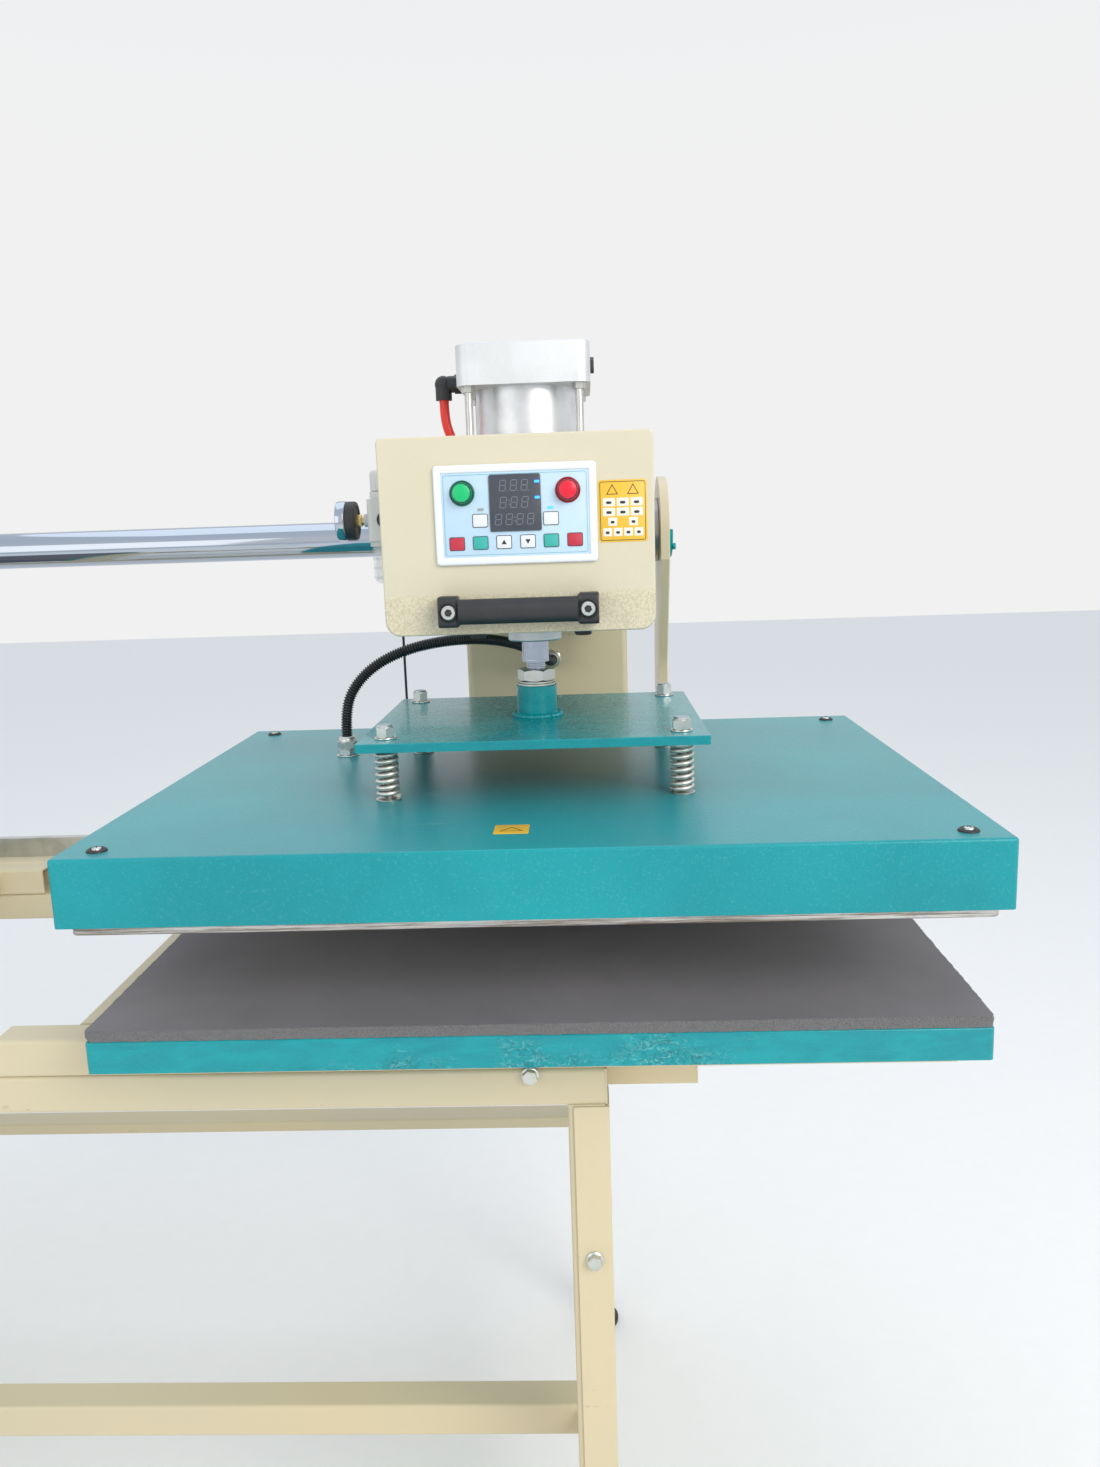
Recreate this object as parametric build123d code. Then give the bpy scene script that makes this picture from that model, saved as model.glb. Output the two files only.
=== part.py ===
from build123d import *
import os

# Twin-station pneumatic shuttle heat press.
# Millimetres, +Z up, +X to the right, the operator stands on the -Y side.
# Origin: on the floor, under the middle of the machine.

# ---- stations and heated plate -------------------------------------------
STATION_X = 642.0          # from the middle of the machine to each station
RAM_Y = -95.0              # ram axis, front to back
PLATE_W = 800.0            # heated plate, also board and pad
PLATE_D = 600.0
COVER_MARGIN = 10.0        # heater cover stands out past the plate
COVER_TOP = 1020.0         # top of the heater cover, raised
COVER_H = 62.0
COVER_T = 2.0
PLATE_T = 22.0             # heated plate thickness
PLATE_SHOWS = 10.0         # what shows below the cover
PRESS_GAP = 89.0           # raised plate to pad
STROKE_REST = 0.5          # left open at the end of the stroke
SPRING_TRAVEL = 12.0       # extra travel that squeezes the four springs

# ---- pads, boards and table frame ----------------------------------------
PAD_T = 11.0
BOARD_T = 30.0
PACKER_T = 3.0
TUBE = 38.0                # small square tube
WALL = 2.5
RAIL_W = 80.0              # side rails, lying flat
RAIL_INNER_OUT = 60.0      # inner rail past the board's edge
RAIL_OUTER_OUT = 20.0      # outer rail past the board's edge
PACKER_W = 20.0
LEG = 40.0
LEG_OUTER_X = STATION_X + 66.0
FRAME_FRONT_Y = -320.0
FRAME_BACK_Y = 285.0       # front face of the rear main beam
FOOT_H = 45.0
STRETCHER_Z = 295.0        # top of the low stretcher
STRETCHER_Y = -190.0
REAR_FLAT_Z = 373.0        # top of the flat rear stretcher
REAR_FLAT_T = 18.0
FACE_PLATE_W = 34.0        # plate on the front of each front leg
FACE_PLATE_T = 3.0
FRONT_BEAM_HALF = STATION_X + 62.0
ARM_BEAM_HALF = STATION_X + 152.0
CROSS_INNER = STATION_X - 526.0    # cross tube's inner end
CROSS_OUTER = STATION_X + 392.0    # and its outer end
BEAM_CAP_T = 2.5
BEAM_BOLT_AF = 13.0
BEAM_BOLT_X = STATION_X - 9.0
LEG_BOLT_AF = 17.0
LEG_BOLT_Z = (577.0, 180.0)
SOLE_R = 32.0              # levelling feet
SOLE_T = 6.0

# ---- guide shaft and end plates ------------------------------------------
SHAFT_D = 50.0
CLAMP_R = SHAFT_D / 2 + 19.0     # clamping flange on the end plate
CLAMP_T = 14.0
CLAMP_SCREW = (SHAFT_D / 2 + 9.65) * 0.5 ** 0.5   # its screws, across and up
DISC_R = SHAFT_D / 2 + 14.0      # half-round keeper plate outside the end plate
DISC_T = 7.0
SHAFT_Y = 290.0
SHAFT_Z = 1280.0
BEARING_CLEAR = 0.05       # radial
END_INNER_X = STATION_X + 160.0
LEFT_EXTRA = 82.0          # the left end stands further out, clear of the valve box
END_T = 12.0
END_TOP_R = 73.0
POST_BACK_Y = 405.0
POST_FRONT_Y = 290.0
MAIN_BEAM_D = 80.0
MAIN_BEAM_H = 76.0
GUIDE_T = 12.0
GUIDE_H = 30.0
ROLLER_D = 32.0
ROLLER_H = 16.0
AXLE_D = 10.0
ROLL_GAP = 0.3

# ---- carriage and head ----------------------------------------------------
COLUMN_W = 224.0
COLUMN_D = 110.0
COLUMN_BOTTOM = 862.0
COLUMN_TOP = 1365.0
COLUMN_WALL = 6.0
BEARING_OD = 76.0
BEARING_L = 84.0
FLANGE_OD = 112.0
HEAD_W = 267.0
HEAD_SHIFT = -8.5          # head's middle, from the ram axis
HEAD_FRONT = -115.0        # from the ram axis
HEAD_BACK = 150.0
HEAD_BOTTOM = 1184.0
HEAD_TOP = 1375.0
HEAD_WALL = 4.0
HEAD_CORNER = 15.0
CHEEK_T = 12.0
CAP_W = 134.0
CAP_T = 40.0
CAP_TOP = 1467.0
BARREL_D = 106.0
BARREL_WALL = 3.5
ROD_D = 29.0
FLATS_TURN = -22.0         # wrench flats on the rod, from facing the operator
TIE_D = 8.0
TIE_PITCH = 111.0
GLAND_D = 58.0
GLAND_H = 17.5
HANDLE_W = 155.0
HANDLE_H = 30.0
HANDLE_OUT = 34.0
BEZEL_W = 157.0
BEZEL_H = 95.0
BEZEL_T = 4.0
BUTTON_D = 21.0
BUTTON_TRAVEL = 3.0
BUTTON_GAP = 0.35

# ---- ram -------------------------------------------------------------------
RAM_PLATE_W = 348.0
RAM_PLATE_D = 301.0
RAM_PLATE_T = 9.0
SPRING_GAP = 54.0          # cover top to ram plate
STUD_X = 148.0
STUD_Y = 121.0
STUD_D = 10.0
SPRING_OD = 24.5
SPRING_WIRE = 4.6
SPRING_TURNS = 7.0
SOCKET_D = 44.0
SOCKET_H = 34.0
NUT_AF = 36.0
NUT_H = 13.0

# ---- derived ---------------------------------------------------------------
COVER_W = PLATE_W + 2 * COVER_MARGIN
COVER_D = PLATE_D + 2 * COVER_MARGIN
COVER_BOTTOM = COVER_TOP - COVER_H
PLATE_BOTTOM = COVER_BOTTOM - PLATE_SHOWS
PAD_TOP = PLATE_BOTTOM - PRESS_GAP
BOARD_TOP = PAD_TOP - PAD_T
BOARD_BOTTOM = BOARD_TOP - BOARD_T
RAIL_TOP = BOARD_BOTTOM - PACKER_T
BEAM_TOP = RAIL_TOP - TUBE
LEG_TOP = BEAM_TOP - TUBE
HEAD_X = STATION_X + HEAD_SHIFT
HEAD_FRONT_Y = RAM_Y + HEAD_FRONT
HEAD_BACK_Y = RAM_Y + HEAD_BACK
COLUMN_FRONT = SHAFT_Y - COLUMN_D / 2
COLUMN_BACK = SHAFT_Y + COLUMN_D / 2
RAM_PLATE_Z = COVER_TOP + SPRING_GAP
SOCKET_TOP = RAM_PLATE_Z + RAM_PLATE_T + SOCKET_H
SHAFT_HALF = END_INNER_X + END_T
MAIN_TOP = LEG_TOP + MAIN_BEAM_H
GUIDE_Y = FRAME_BACK_Y + MAIN_BEAM_D / 2
REAR_LEG_Y = FRAME_BACK_Y + (MAIN_BEAM_D - LEG) / 2
INNER_CLEAR = 0.5
STOP_T = 12.0
STOP_X = END_INNER_X - 34.0
END_BOLTS = [(POST_FRONT_Y + y, LEG_TOP + z) for y in (20.0, 55.0) for z in (20.0, 56.0)]
CORNERS = ((-1, -1), (-1, 1), (1, -1), (1, 1))

# ---- air, electrics and controls ---------------------------------------------
AIR_PORT_R = 6.5
AIR_PORT_Z = CAP_TOP - 30
ELBOW_X = STATION_X - CAP_W / 2 - 20
HOSE_D = 10.0
HOSE_HOLE_R = 9.0
# route of the red hose from the elbow into the head, from the ram axis and the head's top
HOSE_POINTS = [(-87.0, 0.0, 46.0), (-87.0, 0.0, 34.0), (-85.5, 0.5, 20.0), (-81.0, 2.2, 7.0),
               (-77.5, 4.2, -4.0), (-76.0, 5.0, -14.0)]
CONDUIT_D = 14.0
GLAND_AF = 22.0            # hexagon at both ends of the conduit
# route of the heater's conduit, from the ram axis and the cover's top
CONDUIT_POINTS = [(-240.0, 118.0, 24.0), (-240.0, 118.0, 48.0), (-233.0, 123.0, 78.0),
                  (-208.0, 134.0, 106.0), (-170.0, 150.0, 124.0), (-124.0, 172.0, 132.0),
                  (-78.0, 200.0, 131.0), (-38.0, 231.0, 121.0), (-8.0, 255.0, 104.0),
                  (4.0, 273.0, 93.0), (8.0, 294.0, 88.0), (8.0, 316.0, 88.0)]
# start and stop buttons on the panel, from the ram axis and the cover's top
BUTTON_PLACES = ((-60.0, 300.5), (42.0, 300.5))
PANEL_X = -9.0             # panel's middle, from the ram axis and the cover's top
PANEL_Z = 279.5
FILM_INSET = 8.0           # film inside the panel's rim
WINDOW = (-9.0, 290.0, 50.0, 54.0)   # middle, width and height
HANDLE_Z = COVER_TOP + 188.0
HANDLE_FOOT = 25.0         # width of each foot of the handle
LEAD_X = STATION_X - 202.0  # sensor and its lead
LEAD_Y = 250.0
LEAD_D = 3.5
SENSOR_TOP = COLUMN_BOTTOM + 20.0
SENSOR_R = 6.0
BOX_BOTTOM = 1160.0
BOX_H = 62.0
BOX_WALL = 2.0
BRACKET_T = 12.0
REGULATOR_X = HEAD_X - HEAD_W / 2 - 17.0
REGULATOR_Y = RAM_Y + 12.0
REGULATOR_Z = COVER_TOP + 282.0
BOWL_R = 15.0
KNOB_R = 14.0
GAUGE_R = 21.0
GAUGE_RIM = 2.5
GAUGE_Z = COVER_TOP + 280.0
GAUGE_DEPTH = 20.0
GAUGE_BACK = HEAD_X - HEAD_W / 2 - 47.0
COVER_SCREW_X = 376.0      # cover's corner screws, from the ram axis
COVER_SCREW_Y = (-285.0, 278.0)


def block(x0, x1, y0, y1, z0, z1):
    """Solid box between two corners."""
    size = Box(x1 - x0, y1 - y0, z1 - z0)
    return Pos((x0 + x1) / 2, (y0 + y1) / 2, (z0 + z1) / 2) * size


def hollow(x0, x1, y0, y1, z0, z1, axis, wall=WALL, corner=4.0):
    """Rectangular hollow section along one axis, with rounded outer corners."""
    size = {"X": x1 - x0, "Y": y1 - y0, "Z": z1 - z0}
    across = [size[name] for name in ("X", "Y", "Z") if name != axis]
    plane = {"X": Plane.YZ, "Y": Plane.XZ, "Z": Plane.XY}[axis]
    outer = RectangleRounded(across[0], across[1], corner)
    inner = RectangleRounded(across[0] - 2 * wall, across[1] - 2 * wall, corner - 1.5)
    tube = extrude(plane * (outer - inner), size[axis] / 2, both=True)
    return Pos((x0 + x1) / 2, (y0 + y1) / 2, (z0 + z1) / 2) * tube


def rod(radius, start, length, axis="Z"):
    """Round bar from a start point, along +X, +Y or +Z."""
    turn = {"X": Rot(0, 90, 0), "Y": Rot(-90, 0, 0), "Z": Rot(0, 0, 0)}[axis]
    bar = Cylinder(radius, length, align=(Align.CENTER, Align.CENTER, Align.MIN))
    return Pos(*start) * turn * bar


def ring(outer, inner, start, length, axis="Z"):
    """Round tube from a start point."""
    return rod(outer, start, length, axis) - rod(inner, start, length, axis)


def hex_head(across_flats, start, height, axis="Z"):
    """Hexagonal bolt head or nut blank."""
    turn = {"X": Rot(0, 90, 0), "Y": Rot(-90, 0, 0), "Z": Rot(0, 0, 0)}[axis]
    profile = RegularPolygon(across_flats / 2, 6, major_radius=False)
    return Pos(*start) * turn * extrude(profile, height)


def chamfer_ends(part, axis, size):
    """Small chamfer on the two end faces along an axis."""
    faces = part.faces().sort_by(axis)
    return chamfer(faces[0].edges() + faces[-1].edges(), size)


def both_sides(maker):
    """The same piece for the right and the left half of the machine."""
    right = maker()
    return Compound([right, mirror(right, Plane.YZ)])


# ---- frame -----------------------------------------------------------------
def legs():
    """Four square legs."""
    x0 = LEG_OUTER_X - LEG

    def pair():
        front = hollow(x0, LEG_OUTER_X, FRAME_FRONT_Y, FRAME_FRONT_Y + LEG, FOOT_H, LEG_TOP, "Z")
        rear = hollow(x0, LEG_OUTER_X, REAR_LEG_Y, REAR_LEG_Y + LEG, FOOT_H, LEG_TOP, "Z")
        return Compound([front, rear])
    return both_sides(pair)


def leg_face_plates():
    """Painted plates on the front of the front legs, each held by two hexagon bolts."""
    z0 = FOOT_H + 20
    z1 = LEG_TOP

    def plate():
        return block(LEG_OUTER_X - FACE_PLATE_W, LEG_OUTER_X, FRAME_FRONT_Y - FACE_PLATE_T, FRAME_FRONT_Y, z0, z1)
    return both_sides(plate)


def side_frame_bars():
    """High and low bars that join each front leg to its rear leg."""
    x0 = LEG_OUTER_X - LEG
    y0 = FRAME_FRONT_Y + LEG

    def pair():
        high = hollow(x0, LEG_OUTER_X, y0, REAR_LEG_Y, LEG_TOP - LEG, LEG_TOP, "Y")
        low = hollow(x0, LEG_OUTER_X, y0, REAR_LEG_Y, STRETCHER_Z - LEG, STRETCHER_Z, "Y")
        return Compound([high, low])
    return both_sides(pair)


def frame_stretchers():
    """Low stretcher between the side frames, and the flat one between the rear legs."""
    half = LEG_OUTER_X - LEG
    low = hollow(-half, half, STRETCHER_Y, STRETCHER_Y + LEG, STRETCHER_Z - LEG, STRETCHER_Z, "X")
    flat = hollow(-half, half, REAR_LEG_Y, REAR_LEG_Y + LEG, REAR_FLAT_Z - REAR_FLAT_T, REAR_FLAT_Z, "X",
                  WALL, 3.0)
    return Compound([low, flat])


def table_beams():
    """Front beam on the legs, and the two longer beams that carry the table arms."""
    y0 = FRAME_FRONT_Y
    front = hollow(-FRONT_BEAM_HALF, FRONT_BEAM_HALF, y0, y0 + TUBE, LEG_TOP, BEAM_TOP, "X")
    arms = hollow(-ARM_BEAM_HALF, ARM_BEAM_HALF, y0 + TUBE, y0 + 2 * TUBE, LEG_TOP, BEAM_TOP, "X")
    rear = hollow(-ARM_BEAM_HALF, ARM_BEAM_HALF, FRAME_BACK_Y - TUBE, FRAME_BACK_Y, LEG_TOP, BEAM_TOP, "X")
    return Compound([front, arms, rear])


def table_cross_tubes():
    """Front and rear tubes of each table frame."""
    def pair():
        front = hollow(CROSS_INNER, CROSS_OUTER, FRAME_FRONT_Y, FRAME_FRONT_Y + TUBE, BEAM_TOP, RAIL_TOP, "X")
        rear = hollow(CROSS_INNER, CROSS_OUTER, FRAME_BACK_Y - TUBE, FRAME_BACK_Y, BEAM_TOP, RAIL_TOP, "X")
        return Compound([front, rear])
    return both_sides(pair)


def table_side_rails():
    """Two flat rails under each board."""
    y0 = FRAME_FRONT_Y + TUBE
    y1 = FRAME_BACK_Y - TUBE

    def pair():
        outer_x = STATION_X + PLATE_W / 2 + RAIL_OUTER_OUT
        inner_x = STATION_X - PLATE_W / 2 - RAIL_INNER_OUT
        outer = hollow(outer_x - RAIL_W, outer_x, y0, y1, BEAM_TOP, RAIL_TOP, "Y")
        inner = hollow(inner_x, inner_x + RAIL_W, y0, y1, BEAM_TOP, RAIL_TOP, "Y")
        return Compound([outer, inner])
    return both_sides(pair)


def main_beam():
    """Heavy rear beam that carries the end plates and the guide bar."""
    x0 = -END_INNER_X - LEFT_EXTRA
    y1 = FRAME_BACK_Y + MAIN_BEAM_D
    return hollow(x0, END_INNER_X, FRAME_BACK_Y, y1, LEG_TOP, MAIN_TOP, "X", 4.0, 6.0)


def guide_bar():
    """Upright flat bar on the main beam that keeps the carriage from swinging."""
    half = END_INNER_X - 30
    bar = block(-half, half, GUIDE_Y - GUIDE_T / 2, GUIDE_Y + GUIDE_T / 2, MAIN_TOP, MAIN_TOP + GUIDE_H)
    return chamfer(bar.faces().sort_by(Axis.Z)[-1].edges(), 1.0)


def board_packers():
    """Rubber packers between the rails and the boards."""
    def four():
        pieces = []
        for sx, sy in CORNERS:
            x = STATION_X + sx * (PLATE_W - PACKER_W) / 2
            y = RAM_Y + sy * (PLATE_D / 2 - 110)
            pieces.append(block(x - PACKER_W / 2, x + PACKER_W / 2, y - 40, y + 40, RAIL_TOP, BOARD_BOTTOM))
        return Compound(pieces)
    return both_sides(four)


def table_boards():
    """Painted steel box boards under the pads."""
    def board():
        shape = block(STATION_X - PLATE_W / 2, STATION_X + PLATE_W / 2, RAM_Y - PLATE_D / 2,
                      RAM_Y + PLATE_D / 2, BOARD_BOTTOM, BOARD_TOP)
        shape = fillet(shape.edges().filter_by(Axis.Z), 4.0)
        return fillet(shape.faces().sort_by(Axis.Z)[-1].edges(), 2.0)
    return both_sides(board)


def table_pads():
    """Heat-proof sponge pads, one glued on each board."""
    def pad():
        shape = block(STATION_X - PLATE_W / 2, STATION_X + PLATE_W / 2, RAM_Y - PLATE_D / 2,
                      RAM_Y + PLATE_D / 2, BOARD_TOP, PAD_TOP)
        return fillet(shape.edges().filter_by(Axis.Z), 3.0)
    return both_sides(pad)


def end_plate(side):
    """Upright plate with an arched top round the shaft and a post set back behind it."""
    neck_z = SHAFT_Z - 190
    arch_front = SHAFT_Y - END_TOP_R
    arch_back = SHAFT_Y + END_TOP_R
    path = Polyline([(POST_FRONT_Y, LEG_TOP), (POST_FRONT_Y, neck_z), (arch_front, SHAFT_Z - 40),
                     (arch_front, SHAFT_Z)])
    arch = RadiusArc((arch_front, SHAFT_Z), (arch_back, SHAFT_Z), END_TOP_R)
    back = Polyline([(arch_back, SHAFT_Z), (POST_BACK_Y, neck_z), (POST_BACK_Y, LEG_TOP),
                     (POST_FRONT_Y, LEG_TOP)])
    face = make_face(Curve() + [path, arch, back])
    plate = Pos(END_INNER_X, 0, 0) * extrude(Plane.YZ * face, END_T)
    soft = plate.edges().filter_by(Axis.X).filter_by(lambda e: neck_z - 5 < e.center().Z < neck_z + 5)
    plate = fillet(soft, 60.0)
    plate -= rod(SHAFT_D / 2, (END_INNER_X - 1, SHAFT_Y, SHAFT_Z), END_T + 2, "X")
    for y, z in END_BOLTS:
        plate -= rod(6.5, (END_INNER_X - 1, y, z), END_T + 2, "X")
    plate = chamfer(plate.faces().sort_by(Axis.X)[-1].outer_wire().edges(), 1.5)
    return plate if side > 0 else Pos(-LEFT_EXTRA, 0, 0) * mirror(plate, Plane.YZ)


def guide_shaft():
    """Ground and chromed shaft between the end plates."""
    x0 = -SHAFT_HALF - LEFT_EXTRA
    bar = rod(SHAFT_D / 2, (x0, SHAFT_Y, SHAFT_Z), SHAFT_HALF - x0, "X")
    return chamfer_ends(bar, Axis.X, 1.0)


def shaft_end_flanges():
    """Clamping flanges, half-round keeper plates and their screws, and the collar behind the left buffer."""
    def one_end():
        inner = ring(CLAMP_R, SHAFT_D / 2, (END_INNER_X - CLAMP_T, SHAFT_Y, SHAFT_Z), CLAMP_T, "X")
        inner = chamfer_ends(inner, Axis.X, 1.0)
        disc = rod(DISC_R, (SHAFT_HALF, SHAFT_Y, SHAFT_Z), DISC_T, "X")
        disc -= block(SHAFT_HALF - 1, SHAFT_HALF + DISC_T + 1, SHAFT_Y - DISC_R - 1, SHAFT_Y + DISC_R + 1,
                      SHAFT_Z, SHAFT_Z + DISC_R + 1)
        pieces = [inner, chamfer(disc.faces().sort_by(Axis.X)[-1].edges(), 1.0)]
        for side in (-1, 1):
            place = (SHAFT_HALF + DISC_T, SHAFT_Y + side * (DISC_R - 11), SHAFT_Z - DISC_R / 2 - 4)
            pieces.append(rod(4.5, place, 4, "X") - hex_head(4, (place[0] + 2, place[1], place[2]), 2, "X"))
        for sy, sz in CORNERS:
            place = (END_INNER_X - CLAMP_T - 8, SHAFT_Y + sy * CLAMP_SCREW, SHAFT_Z + sz * CLAMP_SCREW)
            pieces.append(rod(6.5, place, 8, "X") - hex_head(6, place, 4, "X"))
        return Compound(pieces)
    right = one_end()
    left = Pos(-LEFT_EXTRA, 0, 0) * mirror(one_end(), Plane.YZ)
    collar = ring(SHAFT_D / 2 + 15, SHAFT_D / 2, (-STOP_X - STOP_T - 16, SHAFT_Y, SHAFT_Z), 16, "X")
    return Compound([right, left, chamfer_ends(collar, Axis.X, 1.0)])


def stop_buffers():
    """Rubber rings on the shaft that end the carriage's travel."""
    def buffer():
        shape = ring(SHAFT_D / 2 + 11, SHAFT_D / 2, (STOP_X, SHAFT_Y, SHAFT_Z), STOP_T, "X")
        return fillet(shape.faces().sort_by(Axis.X)[0].edges(), 2.5)
    return both_sides(buffer)


def levelling_feet():
    """Screw feet with rubber-soled pads under the four legs."""
    def pair():
        pieces = []
        for y in (FRAME_FRONT_Y + LEG / 2, REAR_LEG_Y + LEG / 2):
            x = LEG_OUTER_X - LEG / 2
            pad = Cone(SOLE_R - 2, 16, 20, align=(Align.CENTER, Align.CENTER, Align.MIN))
            pad = Pos(x, y, SOLE_T) * pad + rod(SOLE_R, (x, y, 0), SOLE_T)
            stem = rod(6, (x, y, 26), FOOT_H - 26) + hex_head(19, (x, y, FOOT_H - 11), 8)
            pieces.append(pad + stem)
        return Compound(pieces)
    return both_sides(pair)


def tube_end_caps():
    """Thin caps welded over the ends of the beams and cross tubes."""
    def half():
        y0 = FRAME_FRONT_Y
        inset = 1.0
        pieces = []
        for x, y, z in ((FRONT_BEAM_HALF, y0, LEG_TOP), (ARM_BEAM_HALF, y0 + TUBE, LEG_TOP),
                        (ARM_BEAM_HALF, FRAME_BACK_Y - TUBE, LEG_TOP), (CROSS_OUTER, y0, BEAM_TOP),
                        (CROSS_OUTER, FRAME_BACK_Y - TUBE, BEAM_TOP)):
            pieces.append(block(x, x + BEAM_CAP_T, y + inset, y + TUBE - inset, z + inset, z + TUBE - inset))
        return Compound(pieces)
    return both_sides(half)


def frame_bolts():
    """Hexagon bolts on the front beam, the leg plates and the end plates."""
    def front():
        y = FRAME_FRONT_Y
        plate_x = LEG_OUTER_X - FACE_PLATE_W / 2 - 1
        heads = [hex_head(LEG_BOLT_AF, (plate_x, y - FACE_PLATE_T - 9, z), 9, "Y") for z in LEG_BOLT_Z]
        return Compound([hex_head(BEAM_BOLT_AF, (BEAM_BOLT_X, y - 8, LEG_TOP + 33), 8, "Y"), *heads])

    def end():
        pieces = []
        for y, z in END_BOLTS:
            stem = rod(6.0, (END_INNER_X - 12, y, z), END_T + 12, "X")
            pieces.append(stem + hex_head(19, (SHAFT_HALF, y, z), 8, "X"))
        return Compound(pieces)
    left_end = Pos(-LEFT_EXTRA, 0, 0) * mirror(end(), Plane.YZ)
    return Compound([both_sides(front), end(), left_end])


# ---- carriage ----------------------------------------------------------------
def carriage_column():
    """Welded box column that hangs on the shaft, open at the bearings."""
    half = COLUMN_W / 2
    x = STATION_X
    shell = block(x - half, x + half, COLUMN_FRONT, COLUMN_BACK, COLUMN_BOTTOM, COLUMN_TOP)
    shell = fillet(shell.edges().filter_by(Axis.Z), 8.0)
    wall = COLUMN_WALL
    shell -= block(x - half + wall, x + half - wall, COLUMN_FRONT + wall, COLUMN_BACK - wall,
                   COLUMN_BOTTOM + wall, COLUMN_TOP - wall)
    shell -= rod(BEARING_OD / 2, (x - half - 1, SHAFT_Y, SHAFT_Z), COLUMN_W + 2, "X")
    gland_x, _, gland_z = CONDUIT_POINTS[-1]
    shell -= rod(10.0, (x + gland_x, COLUMN_FRONT - 1, COVER_TOP + gland_z), wall + 2, "Y")
    return shell


def linear_bearings():
    """Two flanged linear bearings in the column's side walls."""
    pieces = []
    bore = SHAFT_D / 2 + BEARING_CLEAR
    for side in (-1, 1):
        wall_x = STATION_X + side * COLUMN_W / 2
        flange_x = wall_x if side > 0 else wall_x - 10
        sleeve_x = wall_x - BEARING_L if side > 0 else wall_x
        flange = rod(FLANGE_OD / 2, (flange_x, SHAFT_Y, SHAFT_Z), 10, "X")
        body = flange + rod(BEARING_OD / 2, (sleeve_x, SHAFT_Y, SHAFT_Z), BEARING_L, "X")
        body -= rod(bore, (wall_x - 120, SHAFT_Y, SHAFT_Z), 240, "X")
        for sy, sz in ((-1, -1), (-1, 1), (1, -1), (1, 1)):
            start = (flange_x + (10 if side > 0 else -6), SHAFT_Y + sy * 33, SHAFT_Z + sz * 33)
            body += rod(5.5, start, 6, "X")
        pieces.append(body)
    return Compound(pieces)


def head_arm():
    """Welded arm: two cheeks and a base plate from the column out to the cylinder."""
    x = STATION_X
    y0 = HEAD_FRONT_Y + HEAD_WALL
    floor_z = HEAD_BOTTOM + HEAD_WALL
    base = block(x - 108, x + 98, y0, COLUMN_FRONT, floor_z, floor_z + CHEEK_T)
    arm = base
    for side in (-1, 1):
        cx = x - 5 + side * 85
        lower = floor_z + CHEEK_T
        outline = Polyline([(y0 + 70, lower), (COLUMN_FRONT, lower), (COLUMN_FRONT, COLUMN_TOP - 15),
                            (HEAD_BACK_Y + 40, COLUMN_TOP - 15), (y0 + 70, lower + 60), (y0 + 70, lower)])
        cheek = extrude(Plane.YZ * make_face(outline), CHEEK_T / 2, both=True)
        arm += Pos(cx, 0, 0) * cheek
    arm -= rod(ROD_D / 2 + 2, (x, RAM_Y, floor_z - 1), CHEEK_T + 2)
    return arm


def head_cover():
    """Folded cover round the cylinder, with rounded lower corners."""
    height = HEAD_TOP - HEAD_BOTTOM
    middle = (HEAD_TOP + HEAD_BOTTOM) / 2

    def outline(inset):
        shape = Rectangle(HEAD_W - 2 * inset, height - 2 * inset)
        low = shape.vertices().group_by(Axis.Y)[0]
        shape = fillet(low, HEAD_CORNER - inset)
        high = shape.vertices().group_by(Axis.Y)[-1]
        return fillet(high, max(HEAD_WALL - inset, 0.5) + 1.0)
    depth = HEAD_BACK_Y - HEAD_FRONT_Y
    plane = Plane((HEAD_X, HEAD_FRONT_Y, middle), x_dir=(1, 0, 0), z_dir=(0, -1, 0))
    shell = extrude(plane * outline(0), -depth)
    inner = extrude(plane.offset(-HEAD_WALL) * outline(HEAD_WALL), -(depth - HEAD_WALL + 1))
    shell -= inner
    shell = fillet(shell.faces().sort_by(Axis.Y)[0].outer_wire().edges(), 2.0)
    shell -= rod(ROD_D / 2 + 3, (STATION_X, RAM_Y, HEAD_BOTTOM - 1), HEAD_WALL + 2)
    barrel_hole = block(STATION_X - CAP_W / 2, STATION_X + CAP_W / 2, RAM_Y - CAP_W / 2, RAM_Y + CAP_W / 2,
                        HEAD_TOP - HEAD_WALL - 1, HEAD_TOP + 1)
    shell -= barrel_hole
    hole_x, hole_y, _ = HOSE_POINTS[-2]
    shell -= rod(HOSE_HOLE_R, (STATION_X + hole_x, RAM_Y + hole_y, HEAD_TOP - HEAD_WALL - 1), HEAD_WALL + 2)
    for x, z in BUTTON_PLACES:
        shell -= rod(BUTTON_D / 2 + 2, (STATION_X + x, HEAD_FRONT_Y - 1, COVER_TOP + z), HEAD_WALL + 2, "Y")
    return shell


def cylinder_tube():
    """Air cylinder barrel."""
    bottom = HEAD_BOTTOM + HEAD_WALL + CHEEK_T + CAP_T
    top = CAP_TOP - CAP_T
    return ring(BARREL_D / 2, BARREL_D / 2 - BARREL_WALL, (STATION_X, RAM_Y, bottom), top - bottom)


def square_cap(z):
    """Cast square end cap with rounded corners."""
    cap = block(STATION_X - CAP_W / 2, STATION_X + CAP_W / 2, RAM_Y - CAP_W / 2, RAM_Y + CAP_W / 2, z, z + CAP_T)
    cap = fillet(cap.edges().filter_by(Axis.Z), 12.0)
    cap = fillet(cap.faces().sort_by(Axis.Z)[-1].edges(), 2.0)
    for sx, sy in CORNERS:
        place = (STATION_X + sx * TIE_PITCH / 2, RAM_Y + sy * TIE_PITCH / 2, z - 1)
        cap -= rod(TIE_D / 2 + 0.5, place, CAP_T + 2)
    return cap


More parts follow.
